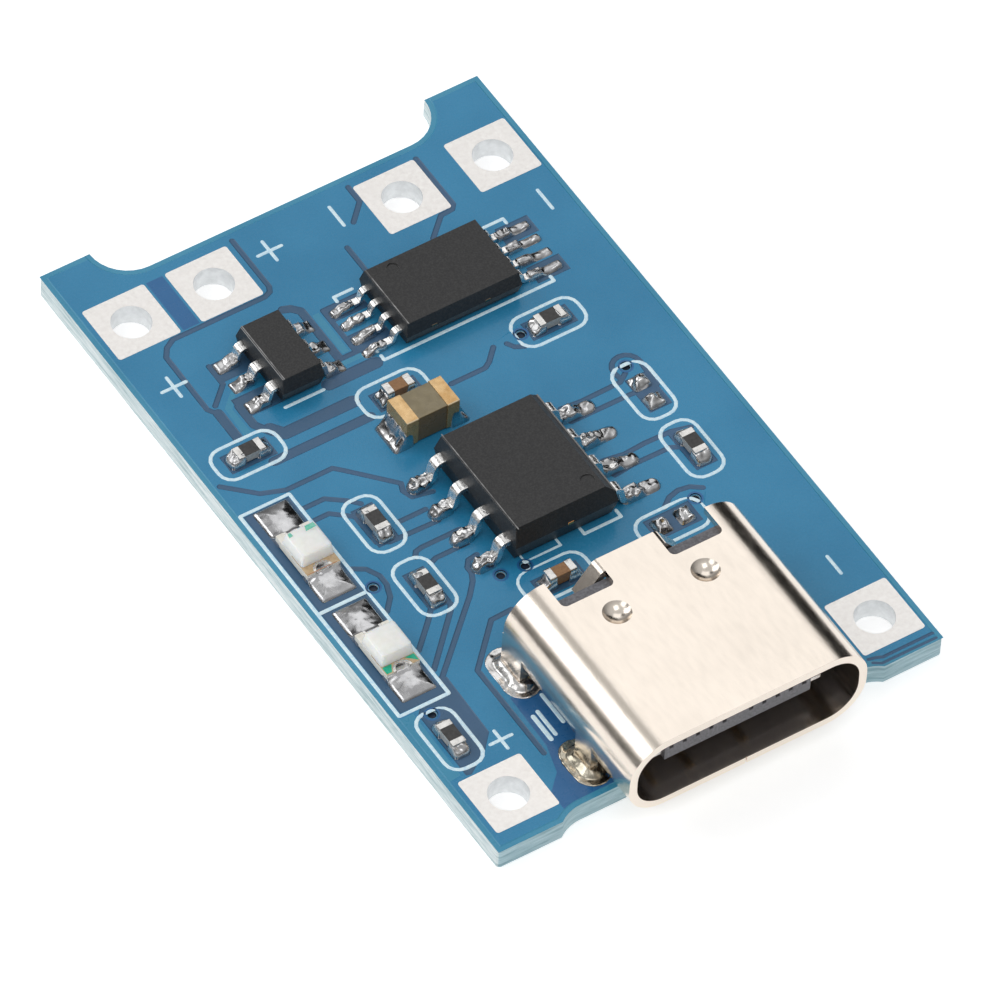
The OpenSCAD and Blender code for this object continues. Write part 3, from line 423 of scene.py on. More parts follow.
dress("printed_board", BOARD)
PAD_NAMES = ["in_plus", "in_minus", "out_plus", "out_minus", "cell_plus", "cell_minus"]
for pad in PAD_NAMES:
    dress("pad_" + pad, TIN_PAD, 0.03, 3)
dress("usb_shell", NICKEL, 0.04, 2)
dress("usb_insulator", SOCKET_PLASTIC, 0.02)
dress("usb_latch_plate", STEEL)
dress("usb_contacts", GOLD, 0.015)
melt("usb_leg_solder", LEG_SOLDER, voxel_mm=0.035, swell_mm=0.01, lump_mm=0.12, lump_size_mm=0.5, soften=5)
melt("usb_tail_solder", SOLDER, voxel_mm=0.03, swell_mm=0.01, lump_mm=0.06, lump_size_mm=0.4, soften=6)
COPPER_CUT, DULL_CUT = (0.9, 0.42, 0.16), (0.22, 0.17, 0.12)
# Each chip with its half length and the colour of its cut tie bars
CHIPS = [("charger_chip", 2.3, COPPER_CUT), ("guard_chip", 1.4, DULL_CUT), ("switch_chip", 1.4, DULL_CUT)]
for chip, half, cut in CHIPS:
    middle_y = node_middle(chip + "_body")[1]
    dress(chip + "_body", CHIP, 0.035, smooth_angle=6)
    dress(chip + "_leads", lead_metal(chip + "_lead_tin", middle_y, half, cut), 0.03, 3)
dress("c1_body", TAN, 0.04)
dress("c1_ends", END_GLOW, 0.06, 3)
for cap in ["c2", "c3"]:
    dress(cap + "_body", BROWN, 0.03)
    dress(cap + "_ends", LEAD, 0.05, 3)
RESISTORS = ["r1", "r2", "r3", "r5", "r6", "r8"]
for resistor in RESISTORS:
    dress(resistor + "_body", RESISTOR, 0.012)
    dress(resistor + "_ends", LEAD, 0.025, 3)
for led in ["led_1", "led_2"]:
    dress(led + "_base", led_laminate(led + "_laminate", node_middle(led + "_base")[1]), 0.01)
    dress(led + "_lens", LED_RESIN, 0.07, 3)
    dress(led + "_ends", LEAD)


# Thin reliefs on the board, worked out from strokes: lines with a width and round ends


def line_distance(points, strokes):
    """Distance from each point to the nearest edge of the strokes, negative inside."""
    nearest = np.full(len(points), 1e9)
    for width, line in strokes:
        for (ax, ay), (bx, by) in zip(line, line[1:]):
            a, d = np.array((ax, ay)), np.array((bx - ax, by - ay))
            share = np.clip(((points - a) @ d) / max(d @ d, 1e-12), 0, 1)
            gone = points - a - share[:, None] * d
            nearest = np.minimum(nearest, np.hypot(gone[:, 0], gone[:, 1]) - width / 2)
    return nearest


def inside(points, outline):
    """Which points lie inside a closed outline."""
    found = np.zeros(len(points), bool)
    x, y = points[:, 0], points[:, 1]
    for (ax, ay), (bx, by) in zip(outline, outline[1:] + outline[:1]):
        if ay != by:
            found ^= ((ay > y) != (by > y)) & (x < (bx - ax) * (y - ay) / (by - ay) + ax)
    return found


def box_polygon(x0, x1, y0, y1):
    """Closed outline of an upright box."""
    return [(x0, y0), (x1, y0), (x1, y1), (x0, y1)]


def ring(x, y, radius, steps):
    """Closed outline of a circle."""
    return [(x + radius * math.cos(2 * math.pi * i / steps), y + radius * math.sin(2 * math.pi * i / steps))
            for i in range(steps)]


def stroke_outlines(strokes, grow):
    """Closed loops round each segment and each joint of the strokes, grown by that much."""
    loops = []
    for width, line in strokes:
        half = width / 2 + grow
        for (ax, ay), (bx, by) in zip(line, line[1:]):
            length = math.hypot(bx - ax, by - ay)
            nx, ny = -(by - ay) / length * half, (bx - ax) / length * half
            loops.append([(ax + nx, ay + ny), (ax - nx, ay - ny), (bx - nx, by - ny), (bx + nx, by + ny)])
        for x, y in line:
            loops.append(ring(x, y, half, 12))
    return loops


def relief(name, loops, height, keep, material_of, materials):
    """A thin surface on the board: the loops' lines cut the plane, and height(points) lifts it."""
    points, edges = [], []
    for loop in loops:
        start = len(points)
        points += [Vector(p) for p in loop]
        edges += [(start + i, start + (i + 1) % len(loop)) for i in range(len(loop))]
    made = delaunay_2d_cdt(points, edges, [], 0, 1e-5)
    flat = np.array([tuple(v) for v in made[0]])
    faces = np.array([f for f in made[2] if len(f) == 3])
    centres = flat[faces].mean(axis=1)
    kept = keep(centres)
    faces, centres = faces[kept], centres[kept]
    lifted = height(flat)
    used, faces = np.unique(faces, return_inverse=True)
    faces = faces.reshape(-1, 3)
    mesh = bpy.data.meshes.new(name)
    mesh.from_pydata([place(*flat[i], lifted[i]) for i in used], [], faces.tolist())
    for material in materials:
        mesh.materials.append(material)
    mesh.polygons.foreach_set("material_index", material_of(centres).astype(np.int32))
    mesh.update()
    piece = bpy.data.objects.new(name, mesh)
    bpy.context.scene.collection.objects.link(piece)
    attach(piece, "root")


# Board outline, as the CAD has it: the router's radius, the notch with its ears, the step with its toes
ROUTER_R = 1.4
NOTCH_D, LEFT_EAR_W, RIGHT_EAR_W = 1.42, 1.9, 2.05
STEP_D, LEFT_TOE_W, RIGHT_TOE_W = 0.3, 2.4, 2.25


def arc(x, y, radius, start, end, steps=8):
    """Points along an arc between two angles in degrees."""
    angles = [math.radians(start + (end - start) * i / steps) for i in range(steps + 1)]
    return [(x + radius * math.cos(a), y + radius * math.sin(a)) for a in angles]


def board_outline(inset):
    """The board's outline, drawn in by that much all round."""
    side, r = BOARD_W / 2, ROUTER_R + inset
    step_half = math.sqrt(2 * ROUTER_R * STEP_D - STEP_D ** 2)
    left_ear, right_ear = -side + LEFT_EAR_W, side - RIGHT_EAR_W
    left_toe, right_toe = -side + LEFT_TOE_W, side - RIGHT_TOE_W
    dip = math.degrees(math.asin(min(1, (ROUTER_R - STEP_D + inset) / r)))
    notch_y = BOARD_L - NOTCH_D + ROUTER_R
    near = STEP_D - ROUTER_R
    return (
        [(-side + inset, inset)]
        + arc(left_toe + step_half, near, r, 180 - dip, 90)
        + arc(right_toe - step_half, near, r, 90, dip)
        + [(side - inset, inset), (side - inset, BOARD_L - inset)]
        + [(right_ear + inset, BOARD_L - inset)]
        + arc(right_ear - ROUTER_R, notch_y, r, 0, -90)
        + arc(left_ear + ROUTER_R, notch_y, r, -90, -180)
        + [(left_ear - inset, BOARD_L - inset), (-side + inset, BOARD_L - inset)]
    )


PAD_HALF = (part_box("pad_in_plus")[1].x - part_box("pad_in_plus")[0].x) / 2 / MM
PADS = [node_middle("pad_" + pad) for pad in PAD_NAMES]


def node_rect(name, grow_x, grow_y):
    """Rectangle round a node's box in board coordinates, grown on each side."""
    low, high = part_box(name)
    x0, x1 = low.x / MM - grow_x, high.x / MM + grow_x
    y0, y1 = (low.y - board_low.y) / MM - grow_y, (high.y - board_low.y) / MM + grow_y
    return box_polygon(x0, x1, y0, y1)


# Narrow gaps between the copper areas, and the wider ones with their own width
GAP_W = 0.2
GAPS = [
    [(-8.05, 17.0), (-7.1, 16.1), (-6.3, 15.8), (-4.55, 15.8), (-4.25, 15.5), (-3.0, 14.15),
     (-3.12, 13.85), (-3.0, 13.5), (-2.3, 13.35)],
    [(-6.3, 14.87), (-5.45, 14.87), (-4.85, 14.42), (-4.55, 14.1)],
    [(-6.2, 14.28), (-5.65, 14.28), (-5.0, 13.75), (-4.98, 12.5), (-4.6, 12.3), (-2.8, 12.25)],
    [(-3.95, 12.85), (-2.9, 12.85)],
    [(-4.25, 11.35), (-4.1, 11.55), (-3.85, 11.6), (-2.4, 11.6)],
    [(-3.95, 10.9), (-3.7, 11.0), (-2.5, 11.0)],
    [(-6.25, 12.0), (-5.85, 11.75), (-5.62, 11.3), (-5.62, 10.9), (-5.8, 10.4), (-6.2, 9.95)],
    [(-2.5, 10.45), (-2.85, 10.4), (-3.05, 10.15), (-3.05, 9.9), (-3.2, 9.6), (-3.6, 9.15), (-6.15, 6.8)],
    [(-6.2, 8.1), (-5.3, 8.95), (-4.98, 9.3)],
    [(-6.2, 7.2), (-4.45, 8.95), (-4.3, 9.2)],
    [(-2.75, 8.0), (-3.55, 7.97), (-5.03, 6.47), (-5.03, 2.6)],
    [(-2.25, 25.5), (-2.25, 23.25), (-2.35, 23.05), (-2.6, 22.95), (-6.1, 22.95), (-6.45, 22.75),
     (-6.68, 22.42), (-6.7, 19.9), (-6.5, 19.6)],
    [(-5.7, 21.4), (-5.7, 20.55), (-6.4, 19.9)],
    [(3.05, 14.12), (3.8, 14.05), (5.3, 14.07), (5.65, 14.3)],
    [(3.05, 13.5), (5.3, 13.48), (6.1, 13.4)],
    [(3.05, 11.62), (3.8, 11.5), (4.6, 11.55), (5.6, 11.52), (6.25, 11.35)],
    [(3.05, 10.93), (3.8, 11.0), (5.2, 10.98), (5.45, 10.85)],
    [(6.28, 13.4), (6.32, 14.2)] + arc(5.85, 14.5, 0.5, 0, 180, 8) + [(5.4, 14.2)],
    [(0.6, 16.8), (1.9, 16.8), (2.15, 16.95), (2.6, 17.4)],
    [(3.05, 17.3), (3.2, 17.05), (3.5, 16.9)],
    [(3.7, 9.0), (4.05, 9.27), (4.45, 9.37), (4.85, 9.3), (5.2, 9.05)],
    [(4.75, 25.4), (4.75, 23.15), (4.6, 22.98), (4.15, 22.95), (3.4, 22.25)],
    [(2.2, 25.5), (2.2, 24.8), (1.55, 24.15)],
    [(0.8, 23.35), (0.8, 22.2)],
    [(-2.0, 19.5), (-1.3, 19.5), (-1.3, 21.5)],
]
WIDE_GAPS = [
    (0.36, [(-6.48, 19.6), (-6.48, 18.4)]),
    (0.32, [(-5.75, 19.5), (-5.75, 18.6), (-5.5, 18.2)]),
    (0.5, [(-5.4, 18.2), (-5.1, 17.8), (-2.5, 17.8)]),
    (0.38, [(-6.0, 16.99), (-2.35, 16.99)]),
    (0.5, [(-2.8, 18.8), (-1.0, 18.8)]),
    (0.32, [(-1.92, 19.6), (-1.92, 21.85), (-2.15, 22.1), (-2.4, 22.2)]),
    (0.12, [(5.85, 0.48), (6.1, 0.42), (6.3, 0.33), (8.2, 0.33)]),
    (0.1, [(5.9, 0.3), (6.15, 0.14), (8.2, 0.12)]),
]
GAPS = [(GAP_W, line) for line in GAPS] + WIDE_GAPS

# Areas without copper
OPEN_AREAS = [
    [(-8.07, 6.25), (-6.38, 6.25), (-6.38, 15.54), (-8.07, 15.54)],
    [(-7.62, 3.1), (-7.45, 3.05), (-6.6, 3.6), (-6.05, 4.2), (-6.0, 6.75), (-6.2, 6.9), (-6.6, 6.3),
     (-7.3, 6.25), (-7.62, 5.9)],
    [(-5.75, 20.6), (-4.35, 20.6), (-4.35, 21.45), (-5.75, 21.45)],
    [(-5.85, 18.95), (-4.35, 18.95), (-4.35, 19.85), (-5.85, 19.85)],
    [(5.3, 20.78), (6.55, 20.78), (6.55, 21.55), (5.3, 21.55)],
    [(5.3, 18.9), (6.55, 18.9), (6.55, 19.65), (5.3, 19.65)],
    [(-1.35, 20.9), (0.1, 20.9), (0.1, 21.6), (-1.35, 21.6)],
    [(-1.35, 19.4), (0.1, 19.4), (0.1, 20.2), (-1.35, 20.2)],
    [(5.45, 12.5), (6.3, 12.5), (6.3, 14.05), (5.45, 14.05)],
    [(2.75, 7.95), (4.5, 7.95), (4.5, 8.85), (2.75, 8.85)],
]
OPEN_AREAS += [node_rect(name + "_ends", 0.16, 0.36) for name in ["r1", "r2", "r3"]]
OPEN_AREAS += [node_rect(name + "_ends", 0.36, 0.16) for name in ["r5", "r6", "c3", "c2"]]
# Copper under thinner lacquer, which looks lighter, and copper that looks deeper
LIGHT_AREAS = [
    [(-8.22, 3.15), (-7.76, 3.2), (-7.72, 6.05), (-8.22, 6.05)],
    [(-6.25, 18.4), (-5.98, 18.4), (-6.0, 19.5), (-5.45, 20.15), (-5.55, 20.25), (-6.2, 19.65)],
    [(-1.72, 19.65), (-1.47, 19.65), (-1.47, 21.5), (-1.72, 21.5)],
    [(-2.0, 19.2), (-1.2, 19.2), (-1.2, 19.38), (-2.0, 19.38)],
]
DEEP_AREAS = [
    [(-5.7, 0.4), (-3.7, 0.35), (-3.6, 5.0), (-4.75, 5.0), (-4.8, 2.8), (-5.1, 1.75), (-5.7, 1.15)],
    [(-5.6, 23.1), (-4.98, 23.1), (-4.98, 25.4), (-5.6, 25.4)],
]

# Heights of the lacquer over copper and over bare board, the slope between them, and the bare rim's width
SKIN_TOP = 0.022
SKIN_FLOOR = 0.004
WALL = 0.035
RIM_W = 0.2
PAD_OVERLAP = 0.06
# Vias, and the radii of their collar, their hole's edge and their hole's foot
VIAS = [(5.83, 14.54), (4.75, 8.81), (-6.05, 11), (-7.22, 5.72), (-2.3, 9.35), (-1.42, 9.28), (3.65, 17.4)]
VIA_RADII = (0.27, 0.2, 0.13)
COLLAR_RISE = 0.012
HOLE_DEPTH = 0.1
EASE = 0.01


def closed(areas):
    """The areas' outlines as strokes without a width."""
    return [(0.0, area + area[:1]) for area in areas]


def area_distance(points, areas):
    """Distance to the areas' outlines, negative inside them."""
    nearest = np.full(len(points), 1e9)
    for area in areas:
        away = line_distance(points, closed([area]))
        nearest = np.minimum(nearest, np.where(inside(points, area), -away, away))
    return nearest


def board_skin():
    """The lacquered copper pattern: raised areas, sunk gaps between them, and a bare rim."""
    outline = board_outline(0.0)
    rim = board_outline(RIM_W)
    rim_foot = board_outline(RIM_W - WALL)
    half = PAD_HALF - PAD_OVERLAP
    pads = [box_polygon(x - half, x + half, y - half, y + half) for x, y in PADS]
    vias = [ring(x, y, r, 20) for x, y in VIAS for r in VIA_RADII]
    loops = [outline, rim, rim_foot] + pads + vias + OPEN_AREAS + LIGHT_AREAS + DEEP_AREAS
    loops += stroke_outlines(GAPS, 0.0) + stroke_outlines(GAPS, -WALL)
    loops += stroke_outlines(closed(OPEN_AREAS), WALL)

    def rim_distance(points):
        return -area_distance(points, [rim])

    def gap_distance(points):
        return np.minimum(line_distance(points, GAPS), area_distance(points, OPEN_AREAS))

    def height(points):
        signed = np.minimum(gap_distance(points), rim_distance(points))
        lifted = SKIN_FLOOR + (SKIN_TOP - SKIN_FLOOR) * np.clip(1 + signed / WALL, 0, 1)
        for x, y in VIAS:
            away = np.hypot(points[:, 0] - x, points[:, 1] - y)
            lifted = np.where(away < VIA_RADII[0] + EASE, SKIN_TOP + COLLAR_RISE, lifted)
            lifted = np.where(away < VIA_RADII[1] - EASE, SKIN_FLOOR - HOLE_DEPTH, lifted)
        return lifted

    def keep(points):
        kept = inside(points, outline)
        for pad in pads:
            kept &= ~inside(points, pad)
        return kept

    def material_of(points):
        copper, gap, bare, deep, hole = range(5)
        index = np.full(len(points), copper)
        index[area_distance(points, DEEP_AREAS) < 0] = deep
        index[area_distance(points, LIGHT_AREAS) < 0] = bare
        index[rim_distance(points) < -0.001] = bare
        index[gap_distance(points) < -0.001] = gap
        for x, y in VIAS:
            away = np.hypot(points[:, 0] - x, points[:, 1] - y)
            index[away < VIA_RADII[0]] = deep
            # The via holes take the near-black painted shade
            index[away < VIA_RADII[1]] = hole
        return index

    relief("board_skin", loops, height, keep, material_of,
           [MASK_COPPER, MASK_GAP, MASK_BARE, MASK_DEEP, VIA_HOLE_SHADE])


board_skin()


def rounded_box(x0, x1, y0, y1, r):
    """Closed outline of a box whose corners are rounded by r."""
    return (arc(x1 - r, y1 - r, r, 90, 0, 4) + arc(x1 - r, y0 + r, r, 0, -90, 4)
            + arc(x0 + r, y0 + r, r, -90, -180, 4) + arc(x0 + r, y1 - r, r, 180, 90, 4) + [(x1 - r, y1)])


def plus_sign(x, y, arm):
    """The two lines of a plus sign."""
    return [[(x - arm / 2, y), (x + arm / 2, y)], [(x, y - arm / 2), (x, y + arm / 2)]]


INK_W = 0.14
# Outline round both LEDs, and the corner radius of the outlines round the other small parts
LED_BOX = [-8.15, -6.3, 6.17, 15.62]
SITE_R = 0.5
PRINT = [
    rounded_box(-5.3, -3.97, 12.0, 14.36, SITE_R),
    rounded_box(-5.3, -3.95, 9.0, 11.4, SITE_R),
    rounded_box(-7.95, -6.6, 3.35, 5.87, SITE_R),
    rounded_box(-7.8, -5.35, 16.96, 18.32, SITE_R),
    rounded_box(-2.4, 0.04, 16.75, 18.1, SITE_R),
    rounded_box(3.45, 5.95, 16.7, 18.05, SITE_R),
    rounded_box(5.12, 6.45, 12.17, 14.62, SITE_R),
    rounded_box(5.13, 6.45, 9.38, 11.8, SITE_R),
    rounded_box(-2.08, 0.4, 7.7, 9.06, SITE_R),
    rounded_box(2.35, 4.8, 7.7, 9.0, SITE_R),
    rounded_box(*LED_BOX, 0.02),
    [(-8.15, 10.97), (-6.3, 10.97)],
    [(-1.35, 9.7), (-1.35, 9.4), (0.0, 9.4), (0.0, 9.7)],
    [(0.9, 9.7), (0.9, 9.4), (2.3, 9.4), (2.3, 9.7)],
    [(-0.7, 18.95), (-0.7, 18.75), (5.8, 18.75), (5.8, 18.95)],
    [(-0.7, 21.6), (-0.7, 21.8), (0.0, 21.8)],
    [(5.05, 21.8), (5.8, 21.8), (5.8, 21.6)],
    [(-4.5, 18.7), (-3.05, 18.7)],
    [(7.05, 3.85), (7.05, 4.65)],
    [(1.22, 24.2), (1.22, 25.1)],
    [(7.43, 21.35), (7.43, 22.25)],
]
PRINT += plus_sign(-5.9, 3.75, 0.8) + plus_sign(-1.43, 24.52, 0.9) + plus_sign(-7.12, 21.25, 0.9)
PRINT = [(INK_W, line) for line in PRINT]
PRINT += [
    (0.18, [(-4.53, 2.95), (-4.53, 4.0)]),
    (0.16, [(-4.3, 3.05), (-4.3, 4.1)]),
    (0.16, [(-3.82, 3.35), (-3.82, 4.6)]),
]


def printing():
    """The printed marks, as low rounded beads of ink on the lacquer."""
    foot, crown, shoulder = SKIN_TOP - 0.004, SKIN_TOP + 0.012, 0.035

    def height(points):
        return foot + (crown - foot) * np.clip(-line_distance(points, PRINT) / shoulder, 0, 1)

    loops = stroke_outlines(PRINT, 0.0) + stroke_outlines(PRINT, -shoulder)
    relief("printed_marks", loops, height, lambda points: line_distance(points, PRINT) < 0,
           lambda points: np.zeros(len(points)), [INK])


printing()


# Solder on the lands, as height fields that run up to the feet of the parts

# Grid cell, fine lumps, coarse lumps and their share, the rounded edge, the rim's height, and what is sunk
SOLDER_CELL = 0.028
FINE_LUMP, COARSE_LUMP, COARSE_SHARE = 0.22, 0.5, 0.1
EDGE_R = 0.07
SOLDER_RIM = 0.05
SOLDER_SUNK = 0.01
# How sharply the climb on a foot falls off
CLIMB_FALL = 1.2


def solid_boxes(name):
    """Boxes of a CAD node's separate solids in board coordinates: low X, Y, Z and high X, Y, Z."""
    mesh = nodes[name].data
    flat = np.empty(len(mesh.vertices) * 3)
    mesh.vertices.foreach_get("co", flat)
    turn = np.array(nodes[name].matrix_world)
    points = flat.reshape(-1, 3) @ turn[:3, :3].T + turn[:3, 3]
    points = (points - (0, board_low.y, board_high.z)) / MM
    group = np.unique(np.round(points, 4), axis=0, return_inverse=True)[1].reshape(-1)
    parent = list(range(group.max() + 1))

    def root(i):
        while parent[i] != i:
            parent[i] = parent[parent[i]]
            i = parent[i]
        return i

    for face in mesh.polygons:
        first = root(group[face.vertices[0]])
        for vertex in face.vertices[1:]:
            parent[root(group[vertex])] = first
    owner = np.array([root(i) for i in group])
    return [(points[owner == k].min(axis=0), points[owner == k].max(axis=0)) for k in np.unique(owner)]


def lumpy(x, y, size, seed):
    """Soft noise from -1 to 1 with lumps of that size."""
    return np.array([noise.noise(Vector((a / size, b / size, seed))) for a, b in zip(x, y)])


def land_field(land, feet, corner, crown, climb, reach, lump, seed):
    """Points and faces of one land's solder: a crowned skin with a rounded outline that climbs its feet."""
    (x0, y0), (x1, y1) = land
    middle, half = np.array(((x0 + x1) / 2, (y0 + y1) / 2)), np.array(((x1 - x0) / 2, (y1 - y0) / 2))
    r = corner * half.min()
    cells = np.maximum(np.ceil(2 * half / SOLDER_CELL).astype(int), 4)
    u, v = np.meshgrid(np.linspace(-1, 1, cells[0] + 1), np.linspace(-1, 1, cells[1] + 1), indexing="ij")
    away = np.stack([u.ravel(), v.ravel()], axis=1) * half
    past = np.maximum(np.abs(away) - (half - r), 0)
    length = np.hypot(past[:, 0], past[:, 1])
    outside = length > r
    pull = np.where(outside, r / np.maximum(length, 1e-9), 1)[:, None]
    away = np.where(outside[:, None] & (past > 0), np.sign(away) * (half - r + past * pull), away)
    depth = np.where(length > 0, r - np.minimum(length, r), (half - np.abs(away)).min(axis=1))
    depth = np.minimum(depth, (half - np.abs(away)).min(axis=1))
    x, y = (away + middle).T
    share = np.clip(depth / half.min(), 0, 1)
    lift = crown * (1 - (1 - share) ** 2)
    for (fx0, fy0, fx1, fy1, top) in feet:
        gone_x = np.maximum(np.maximum(fx0 - x, x - fx1), 0)
        gone_y = np.maximum(np.maximum(fy0 - y, y - fy1), 0)
        gone = np.hypot(gone_x, gone_y)
        lift = np.maximum(lift, lift + (top * climb - lift) * np.exp(-(gone / reach) ** CLIMB_FALL))
    lift = lift * (1 + lump * lumpy(x, y, FINE_LUMP, seed))
    lift = lift + lump * COARSE_SHARE * lumpy(x, y, COARSE_LUMP, seed + 7)
    edge = np.sqrt(np.clip(depth / EDGE_R, 0, 1))
    z = SKIN_TOP - SOLDER_SUNK + (SOLDER_RIM + np.maximum(lift, 0)) * edge
    rows = cells[1] + 1
    faces = [(i * rows + j, (i + 1) * rows + j, (i + 1) * rows + j + 1, i * rows + j + 1)
             for i in range(cells[0]) for j in range(cells[1])]
    return [place(*point) for point in zip(x, y, z)], faces


def pour(node, part_nodes, material, widen, corner, crown, climb, reach, lump, seed):
    """Stands for a CAD solder node: one height field per land, climbing the parts' feet that stand on it."""
    feet = [box for name in part_nodes for box in solid_boxes(name)]
    points, faces = [], []
    for k, (low, high) in enumerate(solid_boxes(node)):
        land = ((low[0] - widen, low[1] - widen), (high[0] + widen, high[1] + widen))
        standing = [(max(low[0], a[0]), max(low[1], a[1]), min(high[0], b[0]), min(high[1], b[1]), high[2])
                    for a, b in feet if a[0] < high[0] and b[0] > low[0] and a[1] < high[1] and b[1] > low[1]]
        made, quads = land_field(land, standing, corner, crown, climb, reach, lump, seed + k * 3.7)
        faces += [tuple(len(points) + i for i in quad) for quad in quads]
        points += made
    mesh = bpy.data.meshes.new(node + "_poured")
    mesh.from_pydata(points, [], faces)
    mesh.materials.append(material)
    mesh.shade_smooth()
    piece = bpy.data.objects.new(node + "_poured", mesh)
    bpy.context.scene.collection.objects.link(piece)
    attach(piece, "root")
    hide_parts(node)


pour("charger_chip_solder", ["charger_chip_leads"], SOLDER,
     widen=0.05, corner=0.95, crown=0.12, climb=1.0, reach=0.14, lump=0.55, seed=2)
pour("guard_chip_solder", ["guard_chip_leads"], SOLDER,
     widen=0.03, corner=0.35, crown=0.07, climb=1.0, reach=0.12, lump=0.4, seed=5)
pour("switch_chip_solder", ["switch_chip_leads"], SOLDER,
     widen=0.03, corner=0.7, crown=0.09, climb=1.0, reach=0.1, lump=0.5, seed=8)
pour("led_solder", ["led_1_base", "led_2_base"], LAND_SOLDER,
     widen=0.0, corner=0.12, crown=0.14, climb=0.7, reach=0.1, lump=0.1, seed=3)
pour("resistor_solder", [name + "_ends" for name in RESISTORS], SOLDER,
     widen=0.05, corner=0.6, crown=0.12, climb=0.95, reach=0.2, lump=0.4, seed=11)
pour("capacitor_solder", ["c1_ends", "c2_ends", "c3_ends"], SOLDER,
     widen=0.03, corner=0.3, crown=0.1, climb=0.8, reach=0.16, lump=0.35, seed=14)
pour("empty_site_solder", [], SOLDER,
     widen=0.0, corner=0.3, crown=0.2, climb=1.0, reach=0.1, lump=0.8, seed=17)


# Small marks and fills


def flat_piece(name, polygons, z, material):
    """Thin level faces at a height z; each polygon is a list of X and Y in board coordinates."""
    points, faces = [], []
    for polygon in polygons:
        faces.append(list(range(len(points), len(points) + len(polygon))))
        points += [place(x, y, z) for x, y in polygon]
    mesh = bpy.data.meshes.new(name)
    mesh.from_pydata(points, [], faces)
    mesh.materials.append(material)
    piece = bpy.data.objects.new(name, mesh)
    bpy.context.scene.collection.objects.link(piece)
    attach(piece, "root")


def node_extent(name):
    """Low and high X, low and high Y, and the top of a node, in board coordinates."""
    low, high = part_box(name)
    return (low.x / MM, high.x / MM, (low.y - board_low.y) / MM, (high.y - board_low.y) / MM,
            (high.z - board_high.z) / MM)


def led_marks():
    """Green corner marks at the outer ends of the two LEDs, and the edge line of the first one's base."""
    x0, x1, y0, _, top = node_extent("led_2_base")
    left_mark = [(x0 + 0.03, y0 + 0.04), (x0 + 0.22, y0 + 0.04),
                 (x0 + 0.38, y0 + 0.33), (x0 + 0.03, y0 + 0.33)]
    right_mark = [(x1 - 0.03, y0 + 0.02), (x1 - 0.03, y0 + 0.33), (x1 - 0.38, y0 + 0.33)]
    flat_piece("led_2_marks", [left_mark, right_mark], top + 0.002, GREEN)
    x0, x1, y0, _, top = node_extent("led_1_base")
    line = box_polygon(x0 + 0.06, x1 - 0.12, y0 + 0.015, y0 + 0.045)
    flat_piece("led_1_line", [line], top + 0.002, RED_BROWN)
    x0, x1, _, y1, top = node_extent("led_1_lens")
    wide_mark = [(x1 - 0.52, y1 - 0.32), (x1 - 0.12, y1 - 0.3),
                 (x1 - 0.14, y1 - 0.12), (x1 - 0.46, y1 - 0.12)]
    small_mark = [(x0 + 0.12, y1 - 0.3), (x0 + 0.27, y1 - 0.28),
                  (x0 + 0.25, y1 - 0.12), (x0 + 0.14, y1 - 0.14)]
    flat_piece("led_1_marks", [wide_mark, small_mark], top + 0.001, FAINT_GREEN)


def painted_edge_highlights():
    """A painted highlight: a thin light strip along the left top edge of each chip."""
    start, width, ends = 0.04, 0.035, 0.15
    for chip, lean in [("charger_chip", 0.105), ("guard_chip", 0.08), ("switch_chip", 0.07)]:
        x0, _, y0, y1, top = node_extent(chip + "_body")
        left = x0 + lean + start
        line = box_polygon(left, left + width, y0 + ends, y1 - ends)
        flat_piece(chip + "_edge", [line], top + 0.001, HIGHLIGHT_STRIP)


SHELL_SHEET = 0.3


def seam_fill():
    """The shell's folded seam is closed: a strip of the same sheet fills the cut under its inner face."""
    middle, half = node_middle("usb_insulator")[0], 0.028
    start, end = node_extent("usb_shell")[2:4]
    strip = box_polygon(middle - half, middle + half, start + 0.03, end - 1.2)
    flat_piece("seam_inside", [strip], SHELL_SHEET - 0.012, NICKEL)


led_marks()
painted_edge_highlights()
seam_fill()


# Floor, light and camera

CAMERA_AXIS = Vector((0.36922, 0.51413, -0.77417))
CAMERA_ROLL = math.radians(3.7475)
CAMERA_AIM = Vector(place(-0.646, 11.964, 0))
CAMERA_DISTANCE = 460.63 * MM
LENS_MM = 519.58
SENSOR_MM = 36
FLOOR_HALF = 3.0
# Brightness of the sky at the horizon, halfway up and above
SKY_HORIZON, SKY_MIDDLE, SKY_TOP = 0.12, 0.26, 0.62
# Darker openings in it: azimuth, elevation, core and edge in degrees, and their brightness
SKY_OPENINGS = [(55, 19, 19, 24, 0.01), (-74, 2, 10, 18, 0.03), (-10, 46, 6, 12, 0.1)]


def camera():
    """The photo's viewpoint: a long lens whose frame is rolled a little."""
    data = bpy.data.cameras.new("camera")
    data.lens = LENS_MM
    data.sensor_width = SENSOR_MM
    data.clip_start, data.clip_end = 0.01, 10
    eye = bpy.data.objects.new("camera", data)
    bpy.context.scene.collection.objects.link(eye)
    level_right = CAMERA_AXIS.cross(Vector((0, 0, 1))).normalized()
    level_up = level_right.cross(CAMERA_AXIS)
    right = level_right * math.cos(CAMERA_ROLL) + level_up * math.sin(CAMERA_ROLL)
    up = right.cross(CAMERA_AXIS)
    turn = Matrix((right, up, -CAMERA_AXIS)).transposed().to_4x4()
    eye.matrix_world = Matrix.Translation(CAMERA_AIM - CAMERA_AXIS * CAMERA_DISTANCE) @ turn
    bpy.context.scene.camera = eye


